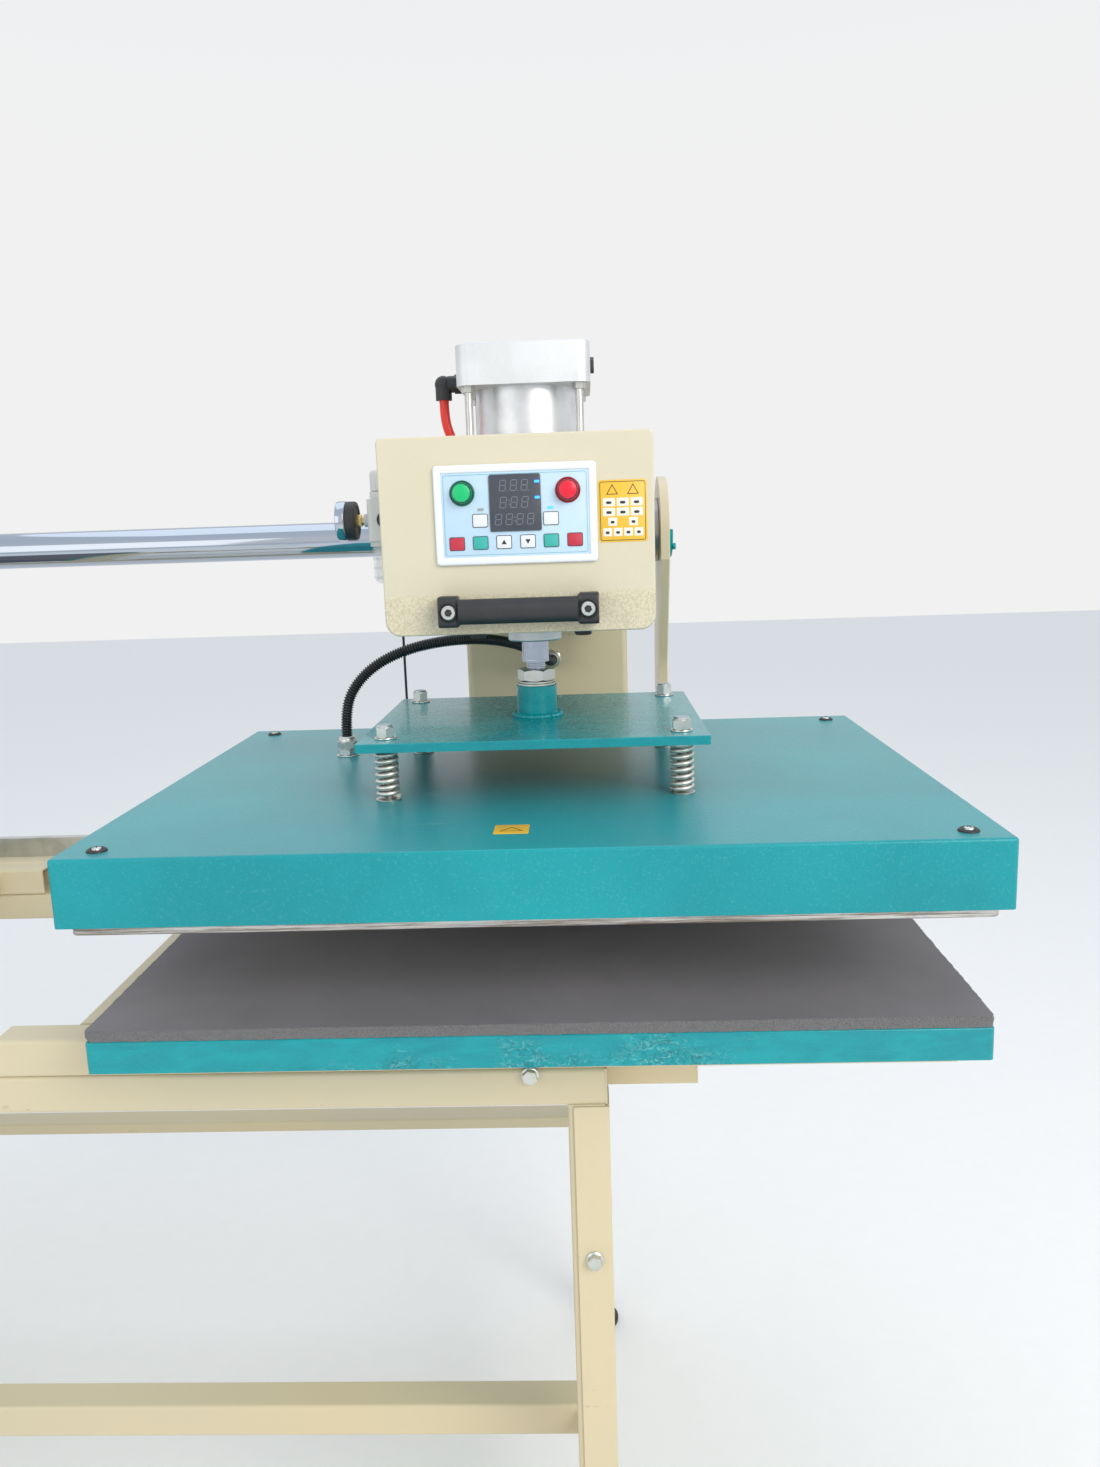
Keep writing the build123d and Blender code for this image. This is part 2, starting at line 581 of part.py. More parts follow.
def cylinder_caps():
    """Top and bottom caps; the bottom one lets the rod through."""
    bottom = square_cap(HEAD_BOTTOM + HEAD_WALL + CHEEK_T)
    bottom -= rod(ROD_D / 2 + 1.5, (STATION_X, RAM_Y, HEAD_BOTTOM), 200)
    top = square_cap(CAP_TOP - CAP_T)
    top -= rod(AIR_PORT_R, (STATION_X - CAP_W / 2 - 1, RAM_Y, AIR_PORT_Z), 21, "X")
    return Compound([bottom, top])


def tie_rods():
    """Four tie rods from cap to cap, each with a nut under the top cap."""
    pieces = []
    bottom = HEAD_BOTTOM + HEAD_WALL + CHEEK_T
    for sx in (-1, 1):
        for sy in (-1, 1):
            x = STATION_X + sx * TIE_PITCH / 2
            y = RAM_Y + sy * TIE_PITCH / 2
            bar = rod(TIE_D / 2, (x, y, bottom), CAP_TOP - bottom)
            pieces.append(bar + hex_head(12, (x, y, CAP_TOP - CAP_T - 6), 6))
    return Compound(pieces)


def rod_gland():
    """Bright flange round the rod, under the head."""
    bore = ROD_D / 2 + BEARING_CLEAR
    z1 = HEAD_BOTTOM
    gland = ring(GLAND_D / 2, bore, (STATION_X, RAM_Y, z1 - GLAND_H), GLAND_H)
    gland = chamfer(gland.faces().sort_by(Axis.Z)[0].outer_wire().edges(), 1.5)
    gland += ring(ROD_D / 2 + 2, bore, (STATION_X, RAM_Y, z1), HEAD_WALL + CHEEK_T)
    return gland


def air_fittings():
    """Push-in elbow on the top cap, straight fitting on the head, and the plugged port."""
    x0 = STATION_X - CAP_W / 2
    elbow = rod(AIR_PORT_R, (x0 - 8, RAM_Y, AIR_PORT_Z), 18, "X")
    elbow += hex_head(17, (x0 - 8, RAM_Y, AIR_PORT_Z), 8, "X")
    elbow += Pos(ELBOW_X, RAM_Y, AIR_PORT_Z) * Sphere(9)
    elbow += rod(8.5, (x0 - 15, RAM_Y, AIR_PORT_Z), 10, "X")
    elbow += rod(8.5, (ELBOW_X, RAM_Y, AIR_PORT_Z - 16), 16)
    hole_x, hole_y, _ = HOSE_POINTS[-2]
    grommet = ring(HOSE_HOLE_R, HOSE_D / 2 + 2.2, (STATION_X + hole_x, RAM_Y + hole_y, HEAD_TOP - HEAD_WALL),
                   HEAD_WALL + 2)
    end_x, end_y, end_z = HOSE_POINTS[-1]
    straight = rod(8.0, (STATION_X + end_x, RAM_Y + end_y, HEAD_TOP + end_z - 16), 14)
    plug = hex_head(14, (STATION_X + CAP_W / 2, RAM_Y - 20, CAP_TOP - 19), 4, "X")
    return Compound([elbow, grommet, straight, plug])


def soft_path(points):
    """Straight runs joined by arcs as large as the runs allow."""
    radii = []
    for before, here, after in zip(points, points[1:], points[2:]):
        first = Vector(*here) - Vector(*before)
        second = Vector(*after) - Vector(*here)
        half_turn = first.get_angle(second) / 2
        shorter = min(first.length, second.length)
        radii.append(0.45 * shorter / tan_degrees(half_turn))
    print("bend radii", [round(radius) for radius in radii])
    return FilletPolyline(points, radius=radii)


def tan_degrees(angle):
    """Tangent of an angle in degrees."""
    leg = Vector(1, 0, 0).rotate(Axis.Z, angle)
    return leg.Y / leg.X


def round_cord(points, diameter):
    """Solid cord along a route."""
    path = soft_path(points)
    section = Plane(path @ 0, z_dir=path % 0) * Circle(diameter / 2)
    cord = sweep(section, path)
    ideal = section.area * path.length
    print("cord volume against section times length", round(cord.volume / ideal, 4))
    return cord


def air_hose():
    """Short air hose from the elbow into the head."""
    route = [(STATION_X + x, RAM_Y + y, HEAD_TOP + z) for x, y, z in HOSE_POINTS]
    return round_cord(route, HOSE_D)


def conduit():
    """Corrugated conduit from the heater cover to the column."""
    route = [(STATION_X + x, RAM_Y + y, COVER_TOP + z) for x, y, z in CONDUIT_POINTS]
    return round_cord(route, CONDUIT_D)


def column_gland():
    """Bright gland where the conduit enters the column."""
    x, y, z = CONDUIT_POINTS[-1]
    start = (STATION_X + x, RAM_Y + y, COVER_TOP + z)
    depth = COLUMN_FRONT - start[1]
    body = hex_head(GLAND_AF, (start[0], COLUMN_FRONT - 8, start[2]), 8, "Y")
    body += rod(9.8, (start[0], COLUMN_FRONT, start[2]), COLUMN_WALL, "Y")
    body += rod(10.5, (start[0], start[1], start[2]), depth, "Y")
    return body - rod(5.0, (start[0], start[1] - 5, start[2]), depth + COLUMN_WALL + 10, "Y")


def regulator_body():
    """Body of the air filter and regulator on the head's left side."""
    x1 = HEAD_X - HEAD_W / 2
    y = REGULATOR_Y
    z0 = REGULATOR_Z
    body = block(x1 - 33, x1, y - 21, y + 21, z0 - 24, z0 + 20)
    body = fillet(body.edges().filter_by(Axis.Z), 6.0)
    body += rod(15, (REGULATOR_X, y, z0 + 20), 8)
    body += ring(BOWL_R + 2, BOWL_R - 3, (REGULATOR_X, y, z0 - 30), 6)
    body += ring(7, 3, (GAUGE_BACK + 8, y, GAUGE_Z), 6, "X")
    return body


def regulator_bowl():
    """Clear bowl under the regulator."""
    x = REGULATOR_X
    bowl = rod(BOWL_R, (x, REGULATOR_Y, REGULATOR_Z - 70), 40)
    bowl = fillet(bowl.faces().sort_by(Axis.Z)[0].edges(), 8.0)
    bowl -= rod(BOWL_R - 2.5, (x, REGULATOR_Y, REGULATOR_Z - 66), 40)
    return bowl + rod(4, (x, REGULATOR_Y, REGULATOR_Z - 76), 7)


def pressure_knob():
    """Ribbed knob that sets the air pressure."""
    knob = rod(KNOB_R, (REGULATOR_X, REGULATOR_Y, REGULATOR_Z + 28.5), 22)
    return chamfer(knob.faces().sort_by(Axis.Z)[-1].edges(), 1.5)


def gauge_case():
    """Pressure gauge case with its stem; the dial faces left."""
    back = GAUGE_BACK
    case = rod(GAUGE_R, (back - GAUGE_DEPTH, REGULATOR_Y, GAUGE_Z), GAUGE_DEPTH, "X")
    case -= rod(GAUGE_R - GAUGE_RIM, (back - GAUGE_DEPTH - 1, REGULATOR_Y, GAUGE_Z), 9, "X")
    stem = rod(5.0, (back, REGULATOR_Y, GAUGE_Z), 8, "X")
    stem += hex_head(12, (back, REGULATOR_Y, GAUGE_Z), 5, "X")
    return case + stem


def gauge_glass():
    """Clear front of the gauge."""
    x = GAUGE_BACK - GAUGE_DEPTH + 1
    return rod(GAUGE_R - GAUGE_RIM, (x, REGULATOR_Y, GAUGE_Z), 2, "X")


def gauge_needle():
    """Needle on the gauge's dial, pointing at zero."""
    x = GAUGE_BACK - GAUGE_DEPTH + 4.6
    hub = rod(2.0, (x, REGULATOR_Y, GAUGE_Z), 1.6, "X")
    blade = block(x, x + 0.8, REGULATOR_Y - 0.7, REGULATOR_Y + 0.7, GAUGE_Z - 3, GAUGE_Z + 14)
    return Pos(0, REGULATOR_Y, GAUGE_Z) * Rot(-135, 0, 0) * Pos(0, -REGULATOR_Y, -GAUGE_Z) * (hub + blade)


def control_panel():
    """Panel bezel with its flush film, open for the window and the two buttons."""
    x = STATION_X + PANEL_X
    z = COVER_TOP + PANEL_Z
    y1 = HEAD_FRONT_Y
    panel = block(x - BEZEL_W / 2, x + BEZEL_W / 2, y1 - BEZEL_T, y1, z - BEZEL_H / 2, z + BEZEL_H / 2)
    panel = fillet(panel.edges().filter_by(Axis.Y), 3.0)
    panel = fillet(panel.faces().sort_by(Axis.Y)[0].edges(), 1.2)
    film_w, film_h = BEZEL_W / 2 - FILM_INSET, BEZEL_H / 2 - FILM_INSET
    panel -= block(x - film_w, x + film_w, y1 - BEZEL_T - 1, y1 - BEZEL_T + 1, z - film_h, z + film_h)
    wx, wz, ww, wh = WINDOW
    panel -= block(STATION_X + wx - ww / 2, STATION_X + wx + ww / 2, y1 - BEZEL_T, y1 - 1,
                   COVER_TOP + wz - wh / 2, COVER_TOP + wz + wh / 2)
    for bx, bz in BUTTON_PLACES:
        place = (STATION_X + bx, y1 - BEZEL_T - 1, COVER_TOP + bz)
        panel -= rod(BUTTON_D / 2 + BUTTON_GAP, place, BEZEL_T + 2, "Y")
        panel += ring(BUTTON_D / 2 + 2.2, BUTTON_D / 2 + BUTTON_GAP, place, 3, "Y")
    return panel


def display_window():
    """Dark window over the three rows of digits."""
    wx, wz, ww, wh = WINDOW
    y = HEAD_FRONT_Y - BEZEL_T + 0.4
    pane = block(STATION_X + wx - ww / 2, STATION_X + wx + ww / 2, y, HEAD_FRONT_Y - 1,
                 COVER_TOP + wz - wh / 2, COVER_TOP + wz + wh / 2)
    return pane


def push_button(place):
    """Round push button."""
    x, z = place
    y = HEAD_FRONT_Y - BEZEL_T - 9
    cap = rod(BUTTON_D / 2, (STATION_X + x, y + 3, COVER_TOP + z), 8 + HEAD_WALL, "Y")
    cap += rod(BUTTON_D / 2 - 2.5, (STATION_X + x, y, COVER_TOP + z), 4, "Y")
    return fillet(cap.faces().sort_by(Axis.Y)[0].edges(), 1.0)


def head_handle():
    """Bridge handle: two feet and an oval grip."""
    x = STATION_X + HEAD_SHIFT
    z = HANDLE_Z
    y1 = HEAD_FRONT_Y
    grip_y = y1 - HANDLE_OUT + 10
    grip = Plane((x, grip_y, z), x_dir=(0, 1, 0), z_dir=(1, 0, 0)) * Ellipse(10, HANDLE_H / 2 - 0.5)
    bar = extrude(grip, HANDLE_W / 2 - 18, both=True)
    handle = bar
    for side in (-1, 1):
        fx = x + side * (HANDLE_W - HANDLE_FOOT) / 2
        foot = block(fx - HANDLE_FOOT / 2, fx + HANDLE_FOOT / 2, grip_y - 7, y1, z - HANDLE_H / 2, z + HANDLE_H / 2)
        foot = fillet(foot.edges().filter_by(Axis.Y), 4.0)
        handle += foot
        handle -= rod(7.5, (fx, grip_y - 12, z), 10, "Y")
    return handle


def head_screws():
    """Handle cap screws, and the two bumpers under the head."""
    x = STATION_X + HEAD_SHIFT
    z = HANDLE_Z
    y = HEAD_FRONT_Y - HANDLE_OUT + 3
    pieces = []
    for side in (-1, 1):
        fx = x + side * (HANDLE_W - HANDLE_FOOT) / 2
        screw = rod(6.8, (fx, y - 2.5, z), 7.5, "Y")
        pieces.append(screw - hex_head(6.5, (fx, y - 2.5, z), 4, "Y"))
    for side in (-1, 1):
        bumper = rod(8.5, (STATION_X + side * 53, RAM_Y - 60, HEAD_BOTTOM - 4), 4)
        pieces.append(chamfer(bumper.faces().sort_by(Axis.Z)[0].edges(), 1.0))
    return Compound(pieces)


def roller_bracket():
    """Plate under the column with the two roller axles and the sensor's arm."""
    x = STATION_X
    z0 = COLUMN_BOTTOM - BRACKET_T
    plate = block(x - 70, x + 70, COLUMN_FRONT, GUIDE_Y + 60, z0, COLUMN_BOTTOM)
    plate = fillet(plate.edges().filter_by(Axis.Z), 8.0)
    plate += block(LEAD_X - 14, x - 60, LEAD_Y - 15, LEAD_Y + 15, z0, z0 + 5)
    for y in roller_axes():
        plate += rod(AXLE_D / 2, (x, y, z0 - ROLLER_H - 6), ROLLER_H + 6)
        plate += rod(9, (x, y, z0 - ROLLER_H - 9), 3)
        plate += rod(8, (x, y, z0 - 2.4), 2.4)
    plate -= rod(SENSOR_R + 0.05, (LEAD_X, LEAD_Y, z0 - 1), 8)
    return plate


def roller_axes():
    """Places of the front and the rear roller, front to back."""
    off = GUIDE_T / 2 + ROLLER_D / 2 + ROLL_GAP
    return (GUIDE_Y - off, GUIDE_Y + off)


def guide_roller(y):
    """Ball-bearing roller that runs along the guide bar."""
    z = COLUMN_BOTTOM - BRACKET_T - 3 - ROLLER_H
    wheel = ring(ROLLER_D / 2, AXLE_D / 2 + BEARING_CLEAR, (STATION_X, y, z), ROLLER_H)
    return chamfer(wheel.faces().sort_by(Axis.Z)[0].outer_wire().edges(), 1.0)


def valve_box():
    """Box on the column's left side with the air valve in it."""
    x1 = STATION_X - COLUMN_W / 2
    x0, y0, y1, z1 = LEAD_X - 18, LEAD_Y - 20, LEAD_Y + 45, BOX_BOTTOM + BOX_H
    wall = BOX_WALL
    box = block(x0, x1, y0, y1, BOX_BOTTOM, z1)
    box = fillet(box.edges().filter_by(Axis.Z), 4.0)
    inner = block(x0 + wall, x1 - wall, y0 + wall, y1 - wall, BOX_BOTTOM + wall, z1 - wall)
    return box - inner


def sensor_lead():
    """Thin lead, held tight from the box down to the sensor."""
    return rod(LEAD_D / 2, (LEAD_X, LEAD_Y, SENSOR_TOP), BOX_BOTTOM - SENSOR_TOP)


def position_sensor():
    """Threaded barrel sensor that finds the station's end position."""
    z0 = COLUMN_BOTTOM - BRACKET_T
    sensor = rod(SENSOR_R, (LEAD_X, LEAD_Y, z0 - 18), SENSOR_TOP - z0 + 18 - 6)
    sensor += Pos(LEAD_X, LEAD_Y, SENSOR_TOP - 6) * Cone(6, 2.6, 6, align=(Align.CENTER, Align.CENTER, Align.MIN))
    sensor += hex_head(17, (LEAD_X, LEAD_Y, z0 + 5), 4) + hex_head(17, (LEAD_X, LEAD_Y, z0 - 4), 4)
    return sensor


# ---- heated platen -------------------------------------------------------------
def heater_cover():
    """Folded sheet cover over the heated plate."""
    x, y = STATION_X, RAM_Y
    cover = block(x - COVER_W / 2, x + COVER_W / 2, y - COVER_D / 2, y + COVER_D / 2, COVER_BOTTOM, COVER_TOP)
    cover = fillet(cover.edges().filter_by(Axis.Z), 4.0)
    cover = fillet(cover.faces().sort_by(Axis.Z)[-1].edges(), 3.0)
    t = COVER_T
    cover -= block(x - COVER_W / 2 + t, x + COVER_W / 2 - t, y - COVER_D / 2 + t, y + COVER_D / 2 - t,
                   COVER_BOTTOM - 1, COVER_TOP - t)
    for sx in (-1, 1):
        for sy in (-1, 1):
            cover -= rod(STUD_D / 2, (x + sx * STUD_X, y + sy * STUD_Y, COVER_TOP - t - 1), t + 2)
    gx, gy, gz = CONDUIT_POINTS[0]
    return cover - rod(8.0, (x + gx, y + gy, COVER_TOP - t - 1), t + 2)


def heating_plate():
    """Cast aluminium plate with the heater in it, and its raised rim for the cover."""
    x, y = STATION_X, RAM_Y
    plate = block(x - PLATE_W / 2, x + PLATE_W / 2, y - PLATE_D / 2, y + PLATE_D / 2,
                  PLATE_BOTTOM, PLATE_BOTTOM + PLATE_T)
    plate = fillet(plate.edges().filter_by(Axis.Z), 6.0)
    plate = chamfer(plate.faces().sort_by(Axis.Z)[0].edges(), 1.0)
    for sx in (-1, 1):
        lug_x = x + sx * (COVER_W / 2 - COVER_T)
        plate += block(min(lug_x, lug_x - sx * 12), max(lug_x, lug_x - sx * 12), y - 200, y + 200,
                       COVER_BOTTOM + 1, PLATE_BOTTOM + PLATE_T)
    return plate


def insulation_blanket():
    """Insulating blanket between the plate and the cover."""
    x, y = STATION_X, RAM_Y
    inset = COVER_T + INNER_CLEAR
    blanket = block(x - COVER_W / 2 + inset, x + COVER_W / 2 - inset, y - COVER_D / 2 + inset,
                    y + COVER_D / 2 - inset, PLATE_BOTTOM + PLATE_T, COVER_TOP - COVER_T)
    for sx in (-1, 1):
        for sy in (-1, 1):
            blanket -= rod(STUD_D / 2, (x + sx * STUD_X, y + sy * STUD_Y, PLATE_BOTTOM), COVER_H + 20)
    return blanket


def cover_screws():
    """Cross-head screws in cup washers at the cover's corners."""
    pieces = []
    for sx in (-1, 1):
        for from_ram in COVER_SCREW_Y:
            x = STATION_X + sx * COVER_SCREW_X
            y = RAM_Y + from_ram
            washer = ring(9.0, 4.5, (x, y, COVER_TOP), 2.5)
            head = rod(4.5, (x, y, COVER_TOP), 4.0)
            head = fillet(head.faces().sort_by(Axis.Z)[-1].edges(), 1.2)
            head -= block(x - 3, x + 3, y - 0.5, y + 0.5, COVER_TOP + 2.8, COVER_TOP + 5)
            head -= block(x - 0.5, x + 0.5, y - 3, y + 3, COVER_TOP + 2.8, COVER_TOP + 5)
            pieces.append(washer + head)
    return Compound(pieces)


def press_studs():
    """Four studs from the plate up through the springs, with the nuts they hang by."""
    pieces = []
    bottom = PLATE_BOTTOM + PLATE_T
    top = RAM_PLATE_Z + RAM_PLATE_T
    for sx in (-1, 1):
        for sy in (-1, 1):
            x = STATION_X + sx * STUD_X
            y = RAM_Y + sy * STUD_Y
            stud = rod(STUD_D / 2, (x, y, bottom), top + 16 - bottom)
            stud += hex_head(17, (x, y, top + 2.0), 10)
            stud += rod(8.2, (x, y, top + 12), 2)
            stud += rod(11, (x, y, top), 2.0)
            stud += rod(13, (x, y, COVER_TOP), 2.0)
            pieces.append(stud)
    return Compound(pieces)


def press_springs():
    """Four compression springs between the cover and the ram plate."""
    pieces = []
    low = COVER_TOP + 2.0 + SPRING_WIRE / 2
    high = RAM_PLATE_Z - SPRING_WIRE / 2
    mean = (SPRING_OD - SPRING_WIRE) / 2
    for sx in (-1, 1):
        for sy in (-1, 1):
            helix = Helix((high - low) / SPRING_TURNS, high - low, mean)
            section = Plane(helix @ 0, z_dir=helix % 0) * Circle(SPRING_WIRE / 2)
            coil = sweep(section, helix, is_frenet=True)
            pieces.append(Pos(STATION_X + sx * STUD_X, RAM_Y + sy * STUD_Y, low) * coil)
    return Compound(pieces)


def platen_gland():
    """Bright hexagon gland where the conduit leaves the heater cover."""
    x, y, z = CONDUIT_POINTS[0]
    centre = (STATION_X + x, RAM_Y + y)
    body = hex_head(GLAND_AF, (centre[0], centre[1], COVER_TOP), 9)
    body += rod(10.5, (centre[0], centre[1], COVER_TOP + 9), z - 9)
    body += rod(7.8, (centre[0], centre[1], COVER_TOP - COVER_T), COVER_T)
    return body - rod(5.0, (centre[0], centre[1], COVER_TOP - COVER_T - 1), z + COVER_T + 2)


# ---- ram -----------------------------------------------------------------------
def ram_plate():
    """Pressure plate with the welded socket for the rod."""
    x, y = STATION_X, RAM_Y
    z0 = RAM_PLATE_Z
    plate = block(x - RAM_PLATE_W / 2, x + RAM_PLATE_W / 2, y - RAM_PLATE_D / 2, y + RAM_PLATE_D / 2,
                  z0, z0 + RAM_PLATE_T)
    plate = fillet(plate.edges().filter_by(Axis.Z), 3.0)
    plate = chamfer(plate.faces().sort_by(Axis.Z)[-1].edges(), 0.8)
    socket = rod(SOCKET_D / 2, (x, y, z0 + RAM_PLATE_T), SOCKET_H)
    weld = Cone(SOCKET_D / 2 + 5, SOCKET_D / 2, 5, align=(Align.CENTER, Align.CENTER, Align.MIN))
    plate += socket + Pos(x, y, z0 + RAM_PLATE_T) * weld
    plate -= rod(8, (x, y, z0 + RAM_PLATE_T), SOCKET_H + 1)
    for sx in (-1, 1):
        for sy in (-1, 1):
            plate -= rod(STUD_D / 2 + 0.5, (x + sx * STUD_X, y + sy * STUD_Y, z0 - 1), RAM_PLATE_T + 2)
    return plate


def piston_rod():
    """Rod with its piston; the threaded end screws into the ram socket."""
    x, y = STATION_X, RAM_Y
    shoulder = SOCKET_TOP + 26
    piston_z = CAP_TOP - CAP_T - 24
    shaft = rod(8, (x, y, SOCKET_TOP - SOCKET_H), SOCKET_H)
    shaft += rod(10, (x, y, SOCKET_TOP), 26)
    shaft += rod(ROD_D / 2, (x, y, shoulder), piston_z - shoulder)
    shaft += rod(BARREL_D / 2 - BARREL_WALL - BEARING_CLEAR, (x, y, piston_z), 20)
    flat = ROD_D / 2 - 2
    cut = block(-20, 20, -flat - 10, -flat, shoulder + 2, shoulder + 14)
    for quarter in range(4):
        shaft -= Pos(x, y, 0) * Rot(0, 0, FLATS_TURN + 90 * quarter) * cut
    return shaft


def rod_nut():
    """Lock nut and washer on the rod's thread."""
    nut = hex_head(NUT_AF, (STATION_X, RAM_Y, SOCKET_TOP + 5), NUT_H)
    washer = rod(SOCKET_D / 2 - 2, (STATION_X, RAM_Y, SOCKET_TOP), 5)
    return nut + washer - rod(10, (STATION_X, RAM_Y, SOCKET_TOP - 1), NUT_H + 8)


PARTS = {
    "legs": legs, "leg_face_plates": leg_face_plates, "side_frame_bars": side_frame_bars,
    "frame_stretchers": frame_stretchers, "table_beams": table_beams,
    "table_cross_tubes": table_cross_tubes, "table_side_rails": table_side_rails,
    "main_beam": main_beam, "guide_bar": guide_bar, "board_packers": board_packers,
    "table_boards": table_boards, "table_pads": table_pads,
    "right_end_plate": lambda: end_plate(1), "left_end_plate": lambda: end_plate(-1),
    "guide_shaft": guide_shaft, "shaft_end_flanges": shaft_end_flanges, "stop_buffers": stop_buffers,
    "levelling_feet": levelling_feet, "tube_end_caps": tube_end_caps, "frame_bolts": frame_bolts,
    "carriage_column": carriage_column, "linear_bearings": linear_bearings, "head_arm": head_arm,
    "head_cover": head_cover, "cylinder_tube": cylinder_tube, "cylinder_caps": cylinder_caps,
    "tie_rods": tie_rods, "rod_gland": rod_gland, "air_fittings": air_fittings, "air_hose": air_hose,
    "regulator_body": regulator_body, "regulator_bowl": regulator_bowl, "gauge_case": gauge_case,
    "gauge_glass": gauge_glass, "control_panel": control_panel, "display_window": display_window,
    "head_handle": head_handle, "head_screws": head_screws, "roller_bracket": roller_bracket,
    "valve_box": valve_box, "sensor_lead": sensor_lead, "position_sensor": position_sensor,
    "column_gland": column_gland,
    "front_guide_roller": lambda: guide_roller(roller_axes()[0]),
    "rear_guide_roller": lambda: guide_roller(roller_axes()[1]),
    "start_button": lambda: push_button(BUTTON_PLACES[0]),
    "stop_button": lambda: push_button(BUTTON_PLACES[1]),
    "pressure_knob": pressure_knob, "gauge_needle": gauge_needle,
    "heater_cover": heater_cover, "heating_plate": heating_plate,
    "insulation_blanket": insulation_blanket, "cover_screws": cover_screws,
    "press_studs": press_studs, "press_springs": press_springs, "platen_gland": platen_gland,
    "conduit": conduit,
    "ram_plate": ram_plate, "piston_rod": piston_rod, "rod_nut": rod_nut,
}

os.makedirs("parts", exist_ok=True)
for name, maker in PARTS.items():
    export_step(maker(), f"parts/{name}.step")
print(len(PARTS), "parts written")
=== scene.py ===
import math

import bpy
import numpy as np
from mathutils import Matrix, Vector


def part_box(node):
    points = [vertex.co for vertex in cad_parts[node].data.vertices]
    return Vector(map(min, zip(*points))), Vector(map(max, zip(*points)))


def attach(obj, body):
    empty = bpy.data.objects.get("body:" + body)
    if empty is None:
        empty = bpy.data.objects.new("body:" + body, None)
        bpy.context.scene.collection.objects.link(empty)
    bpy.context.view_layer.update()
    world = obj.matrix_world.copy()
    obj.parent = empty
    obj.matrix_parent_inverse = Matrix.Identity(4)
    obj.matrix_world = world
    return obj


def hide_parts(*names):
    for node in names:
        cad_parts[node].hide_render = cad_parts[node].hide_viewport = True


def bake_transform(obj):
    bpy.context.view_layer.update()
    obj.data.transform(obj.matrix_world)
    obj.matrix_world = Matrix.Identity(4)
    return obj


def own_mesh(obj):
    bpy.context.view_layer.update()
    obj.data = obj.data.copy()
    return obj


# The looks of a twin-station heat press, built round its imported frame. Metres throughout.
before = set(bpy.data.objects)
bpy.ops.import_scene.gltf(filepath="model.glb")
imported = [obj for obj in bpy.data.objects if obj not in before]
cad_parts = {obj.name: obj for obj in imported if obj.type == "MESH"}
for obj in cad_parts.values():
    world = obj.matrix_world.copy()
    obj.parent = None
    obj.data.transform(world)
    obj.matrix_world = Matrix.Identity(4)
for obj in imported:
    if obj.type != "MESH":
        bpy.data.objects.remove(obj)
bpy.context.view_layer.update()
MM = 0.001
TURN = 2 * math.pi


# ---- places read from the frame ------------------------------------------------
def low(node):
    """Lowest corner of a node."""
    return np.array(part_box(node)[0])


def high(node):
    """Highest corner of a node."""
    return np.array(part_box(node)[1])


def middle(node):
    """Middle of a node's box."""
    return (low(node) + high(node)) / 2


RAM = middle("ram_plate")
COVER_TOP = 1.020
HEAD_FRONT = low("head_cover")[1]
HEAD_TOP = high("head_cover")[2]
HEAD_BOTTOM = low("head_cover")[2]


# ---- surfaces --------------------------------------------------------------------
def weave(rows, columns, closed_rows=False, closed_columns=True):
    """Quads between neighbouring points of a rows by columns grid, wrapped where it is closed."""
    row = np.arange(rows if closed_rows else rows - 1)[:, None]
    column = np.arange(columns if closed_columns else columns - 1)[None, :]
    below, beside = (row + 1) % rows, (column + 1) % columns
    corners = (row * columns + column, row * columns + beside, below * columns + beside, below * columns + column)
    return np.stack(np.broadcast_arrays(*corners), -1).reshape(-1, 4).tolist()


def shell(rings, closed_rows=False, lids=True):
    """A skin over stacked closed rings, shape (rings, points, 3), with a lid on each end."""
    rows, columns = rings.shape[:2]
    faces = weave(rows, columns, closed_rows)
    if lids and not closed_rows:
        last = (rows - 1) * columns
        faces.append(list(range(columns))[::-1])
        faces.append([last + i for i in range(columns)])
    return rings.reshape(-1, 3), faces


def join(*shapes):
    """Several shapes as one set of points and faces."""
    points, faces, start = [], [], 0
    for more_points, more_faces in shapes:
        points.append(more_points)
        faces += [[start + i for i in face] for face in more_faces]
        start += len(more_points)
    return np.concatenate(points), faces


AXES = {"X": ((0, 1, 0), (0, 0, 1), (1, 0, 0)), "Y": ((0, 0, 1), (1, 0, 0), (0, 1, 0)),
        "Z": ((1, 0, 0), (0, 1, 0), (0, 0, 1)), "-X": ((0, 0, 1), (0, 1, 0), (-1, 0, 0)),
        "-Y": ((1, 0, 0), (0, 0, 1), (0, -1, 0)), "-Z": ((0, 1, 0), (1, 0, 0), (0, 0, -1))}


def placed(u, v, w, start, axis):
    """Points from two flat coordinates and a height along an axis."""
    a, b, c = (np.array(vector, float) for vector in AXES[axis])
    return np.array(start) + u[..., None] * a + v[..., None] * b + w[..., None] * c


def turned(profile, start, axis="Z", steps=32):
    """A profile of (radius, height) pairs carried round an axis in a full circle."""
    profile = np.array(profile, float)
    angle = np.arange(steps) * TURN / steps
    radius = np.maximum(profile[:, :1], 1e-5)
    height = np.repeat(profile[:, 1:], steps, 1)
    return shell(placed(radius * np.cos(angle), radius * np.sin(angle), height, start, axis))


def hexagon_radius(angle, across):
    """Distance from the middle to a hexagon's side in a direction: half across over the cosine of the
    angle from the nearest flat's middle."""
    sector = TURN / 6
    return across / 2 / np.cos((angle + sector / 2) % sector - sector / 2)


